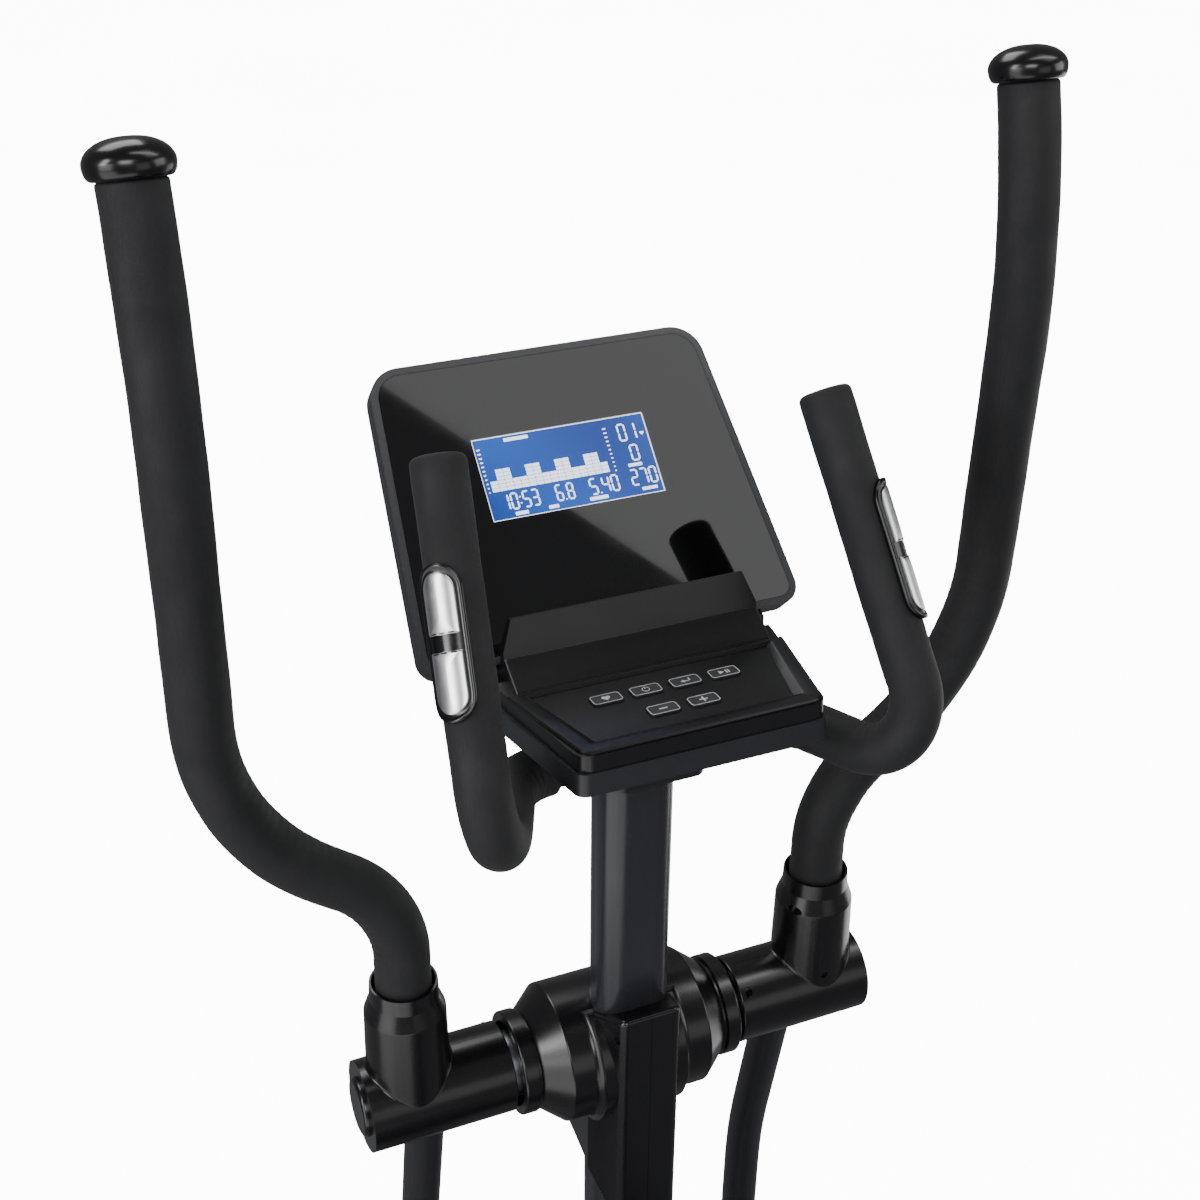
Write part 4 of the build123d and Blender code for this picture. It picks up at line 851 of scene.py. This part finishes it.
# ------------------------------------------------------------------ console back
def console_rear():
    """Vent slots, hatch and screws on the back of the display."""
    shell_depth = 22
    back = frame_at(DISPLAY_FOOT, (-1, 0, 0), DISPLAY_UP) @ Matrix.Translation((0, 0, shell_depth))
    shape, screws = Shape(), Shape()
    for row in range(7):
        width = 46 - 2.5 * abs(row - 3)
        stroke(shape, back, [(-width, 66 - 7 * row), (width, 66 - 7 * row)], 3.4, -0.4, 1.6)
    hatch = ((0, -0.4), (0, 1.0), (0.8, 1.6))
    shape.skin([ring(back, rounded_box(86 - 2 * i, 44 - 2 * i, 7 - i, 6, (0, -18)), z) for i, z in hatch])
    shape.frame_band(
        back, rounded_box(94, 52, 10, 6, (0, -18)), rounded_box(88.4, 46.4, 8, 6, (0, -18)), -0.4, 1.2
    )
    for u, v in ((-95, 88), (95, 88), (-106, -62), (106, -62), (0, 10)):
        boss = back @ Matrix.Translation((u, v, 0))
        shape.turned(boss, ((7, -0.4), (7, 0.8), (6.2, 1.6), (4.2, 1.6), (4.0, 0.4)), 32)
        screw_head(screws, boss @ Matrix.Translation((0, 0, 0.4)), 3.0)
    make_piece("console_back_trim", shape, "frame", "console_grey")
    make_piece("console_back_screws", screws, "frame", "zinc_steel")


# ------------------------------------------------------------------ frame finish
def frame_finish():
    """Weld bead round the foot of the post and moulded plugs in both ends of the base rail."""
    rail_low, rail_top = -887, -837
    foot = frame_at((0, -19, rail_top), (1, 0, 0), (0, 1, 0))
    outline = rounded_box(57, 50, 18, 12)
    bead, count, sides = [], len(outline), 12
    for k, (u, v) in enumerate(outline):
        (u0, v0), (u1, v1) = outline[k - 1], outline[(k + 1) % count]
        out = Vector((v1 - v0, u0 - u1, 0)).normalized()
        size = 3.2 + 0.5 * sin(1.9 * k)
        middle_of = Vector((u, v, 0)) + out * 0.4
        turns = [2 * pi * n / sides for n in range(sides)]
        bead.append([foot @ (middle_of + (out * cos(t) + Vector((0, 0, sin(t)))) * size) for t in turns])
    weld = Shape()
    weld.skin(bead, loop=True)
    make_piece("post_weld_bead", weld, "frame", "frame_paint", crease=70)
    low, high = local("base_rail")
    plugs = Shape()
    rail_middle = (rail_low + rail_top) / 2
    for y, way in ((high.y, "+y"), (low.y, "-y")):
        place = facing((0, y, rail_middle), way)
        edge = ((2.6, -6.0), (2.6, 0.0), (0.2, 0.0), (0.2, 2.0), (1.6, 3.2), (14, 3.4), (15, 2.6), (22, 2.6))
        plugs.skin([ring(place, rounded_box(80 - 2 * i, 50 - 2 * i, 8 - i * 0.3), z) for i, z in edge])
    make_piece("rail_end_plugs", plugs, "frame", "shell_black")


# ------------------------------------------------------------------ keypad deck
def deck_outline(inset):
    """The deck's plan with its front corners rounded: wider at the rear, drawn in by an inset."""
    rear_half, front_half, rear, front, corner = 95.0, 80.0, 40.5, -42.5, 10.0
    half = front_half - inset
    turn = max(corner - inset, 1.5)
    lean = (rear_half - front_half) / (rear - front)
    outline = [(rear_half - inset, rear - 0.3 * inset), (-rear_half + inset, rear - 0.3 * inset)]
    low = front + inset
    steps = 8
    for start, centre in ((pi, -half + turn), (1.5 * pi, half - turn)):
        for k in range(steps + 1):
            angle = start + pi / 2 * k / steps
            u = centre + turn * cos(angle) - lean * turn * cos(angle / 2)
            outline.append((u, low + turn + turn * sin(angle)))
    return outline


def deck_trim():
    """Raised rim that slopes down into the keypad tray, and a near-black matt sheet over the throat under the
    ledge: painted shade for the deep, concave throat.
    """
    rim = Shape()
    section = ((0.6, -0.5), (0.6, 1.2), (1.6, 2.2), (9.5, 2.2), (10.6, 1.8), (14.4, -0.3), (14.4, -0.8))
    rim.skin([ring(deck, deck_outline(inset), level) for inset, level in section], loop=True)
    make_piece("deck_rim", rim, "frame", "deck_plastic", crease=28)
    # The sheet lies on the throat face; its near-black colour is painted shade for the deep, concave throat.
    slope = frame_at((0, -27.25, 341.5), (1, 0, 0), (0, 21.5, 13.0))
    throat_shade = Shape()
    edges = ((0, -0.3), (0, 0.3), (0.3, 0.5))
    throat_shade.skin([ring(slope, rounded_box(172 - 2 * i, 24.6 - 2 * i, 1.2 - i), z) for i, z in edges])
    make_piece("throat_painted_shade_sheet", throat_shade, "frame", "deck_plastic", THROAT_SHADE_SHEET)


cover_screws()
footplate_mats()
disc_trim()
housing_details()
console_rear()
frame_finish()
deck_trim()


# ------------------------------------------------------------------ camera, light and floor
def set_camera():
    """Looks down on the console from behind the user's left shoulder."""
    camera = bpy.data.cameras.new("camera")
    camera.sensor_width = 36.0
    camera.lens = 55.52
    across, down, roll = radians(23.477), radians(29.682), radians(0.524)
    holder = bpy.data.objects.new("camera", camera)
    holder.location = axle + Vector((-0.4193, -0.9283, 0.9432))
    level = Euler((pi / 2 - down, 0, -across)).to_quaternion()
    holder.rotation_euler = (level @ Euler((0, 0, roll)).to_quaternion()).to_euler()
    bpy.context.scene.collection.objects.link(holder)
    bpy.context.scene.camera = holder


def soft_light(name, place, target, size, power, roll=0.0):
    """A rectangular studio softbox that faces a target; roll turns it about its own axis, in degrees."""
    lamp = bpy.data.lights.new(name, "AREA")
    lamp.shape = "RECTANGLE"
    lamp.size, lamp.size_y = size
    lamp.energy = power
    holder = bpy.data.objects.new(name, lamp)
    aim = (Vector(target) - Vector(place)).to_track_quat("-Z", "Y")
    holder.rotation_euler = (aim @ Euler((0, 0, radians(roll))).to_quaternion()).to_euler()
    holder.location = place
    holder.visible_camera = False
    bpy.context.scene.collection.objects.link(holder)
    return holder


def keep_off(light, *flagged):
    """Flags a light so that it doesn't reach some pieces."""
    shaded = bpy.data.collections.new(f"{light.name}_flag")
    for piece in flagged:
        shaded.objects.link(piece)
    for member in shaded.collection_objects:
        member.light_linking.link_state = "EXCLUDE"
    light.light_linking.receiver_collection = shaded


def panel_softbox():
    """The light seen in the display: its edge crosses the panel from upper left to lower right."""
    toward = Vector((0.346, -0.477, 0.808)).normalized()
    sideways = Vector((0, 0, 1)).cross(toward).normalized()
    upward = toward.cross(sideways)
    distance, aside, above = 2.4, 0.62, 0.283
    target = axle + DISPLAY_FOOT * MM + sideways * aside + upward * above
    soft_light("panel_softbox", target + toward * distance, target, (1.2, 1.6), 8.0, roll=14.8)


def set_studio():
    """Dim surround, with softboxes round the machine."""
    world = bpy.data.worlds.new("studio")
    world.use_nodes = True
    background = world.node_tree.nodes["Background"]
    background.inputs["Color"].default_value = linear("#f4f5f8")
    background.inputs["Strength"].default_value = 0.2
    bpy.context.scene.world = world
    chest = (0, axle.y, 1.25)
    overhead = soft_light("overhead_strip", (1.0, -0.05, 3.6), (0, axle.y, 1.0), (2.6, 0.4), 14, roll=-65)
    keep_off(overhead, nodes["console_face"], nodes["lcd_module"])
    soft_light("top", (-0.4, 2.6, 3.9), (0, 0.9, 0), (2.4, 1.6), 60)
    soft_light("left_high", (-2.6, -0.2, 2.6), chest, (0.7, 1.6), 34)
    soft_light("left_low", (-1.5, -0.25, 0.55), (0, axle.y, 1.2), (1.3, 1.4), 10)
    soft_light("right_low", (1.5, 0.8, 0.5), (0, axle.y, 1.2), (1.0, 1.3), 7)
    for side, name in ((-1, "left_side"), (1, "right_side")):
        soft_light(name, (side * 3.2, -0.9, 1.7), (0, -0.3, 0.3), (2.0, 1.6), 30)
    soft_light("front_low", (-0.6, -1.05, 0.25), (0, axle.y, 1.1), (1.2, 0.9), 5)
    soft_light("front_fill", (0.9, -2.2, 1.5), chest, (1.6, 1.2), 5)
    soft_light("shoulder", (-1.1, -2.2, 2.9), chest, (1.6, 1.2), 40)
    panel_softbox()


def stage_piece(name, points, faces, finish):
    """A floor or backdrop that the camera sees and the machine doesn't mirror."""
    mesh = bpy.data.meshes.new(name)
    mesh.from_pydata(points, [], faces)
    mesh.materials.append(finish)
    piece = bpy.data.objects.new(name, mesh)
    piece.visible_glossy = False
    piece.visible_diffuse = False
    bpy.context.scene.collection.objects.link(piece)
    return piece


def set_floor():
    """White floor out to a round white wall, with a broad light of its own that nothing else takes."""
    reach, height, sides = 30.0, 26.0, 64
    wall_radius, wall_foot = 0.96 * reach, -0.1
    corners = [(-reach, -reach, 0), (reach, -reach, 0), (reach, reach, 0), (-reach, reach, 0)]
    floor = stage_piece("floor", corners, [(0, 1, 2, 3)], pale_floor("studio_floor"))
    foot = [(u, v, wall_foot) for u, v in round_outline(wall_radius, sides)]
    top = [(x, y, height) for x, y, _ in foot]
    faces = [(k, (k + 1) % sides, sides + (k + 1) % sides, sides + k) for k in range(sides)]
    wall = stage_piece("backdrop", foot + top, faces, glowing_wall("backdrop_fabric"))
    wall.visible_shadow = False
    lamp = bpy.data.lights.new("floor_light", "SUN")
    lamp.energy = 46.0
    lamp.angle = radians(70)
    holder = bpy.data.objects.new("floor_light", lamp)
    holder.rotation_euler = (radians(-18), radians(8), 0)
    bpy.context.scene.collection.objects.link(holder)
    only_floor = bpy.data.collections.new("only_floor")
    only_floor.objects.link(floor)
    holder.light_linking.receiver_collection = only_floor


set_camera()
set_studio()
set_floor()


bpy.context.view_layer.update()
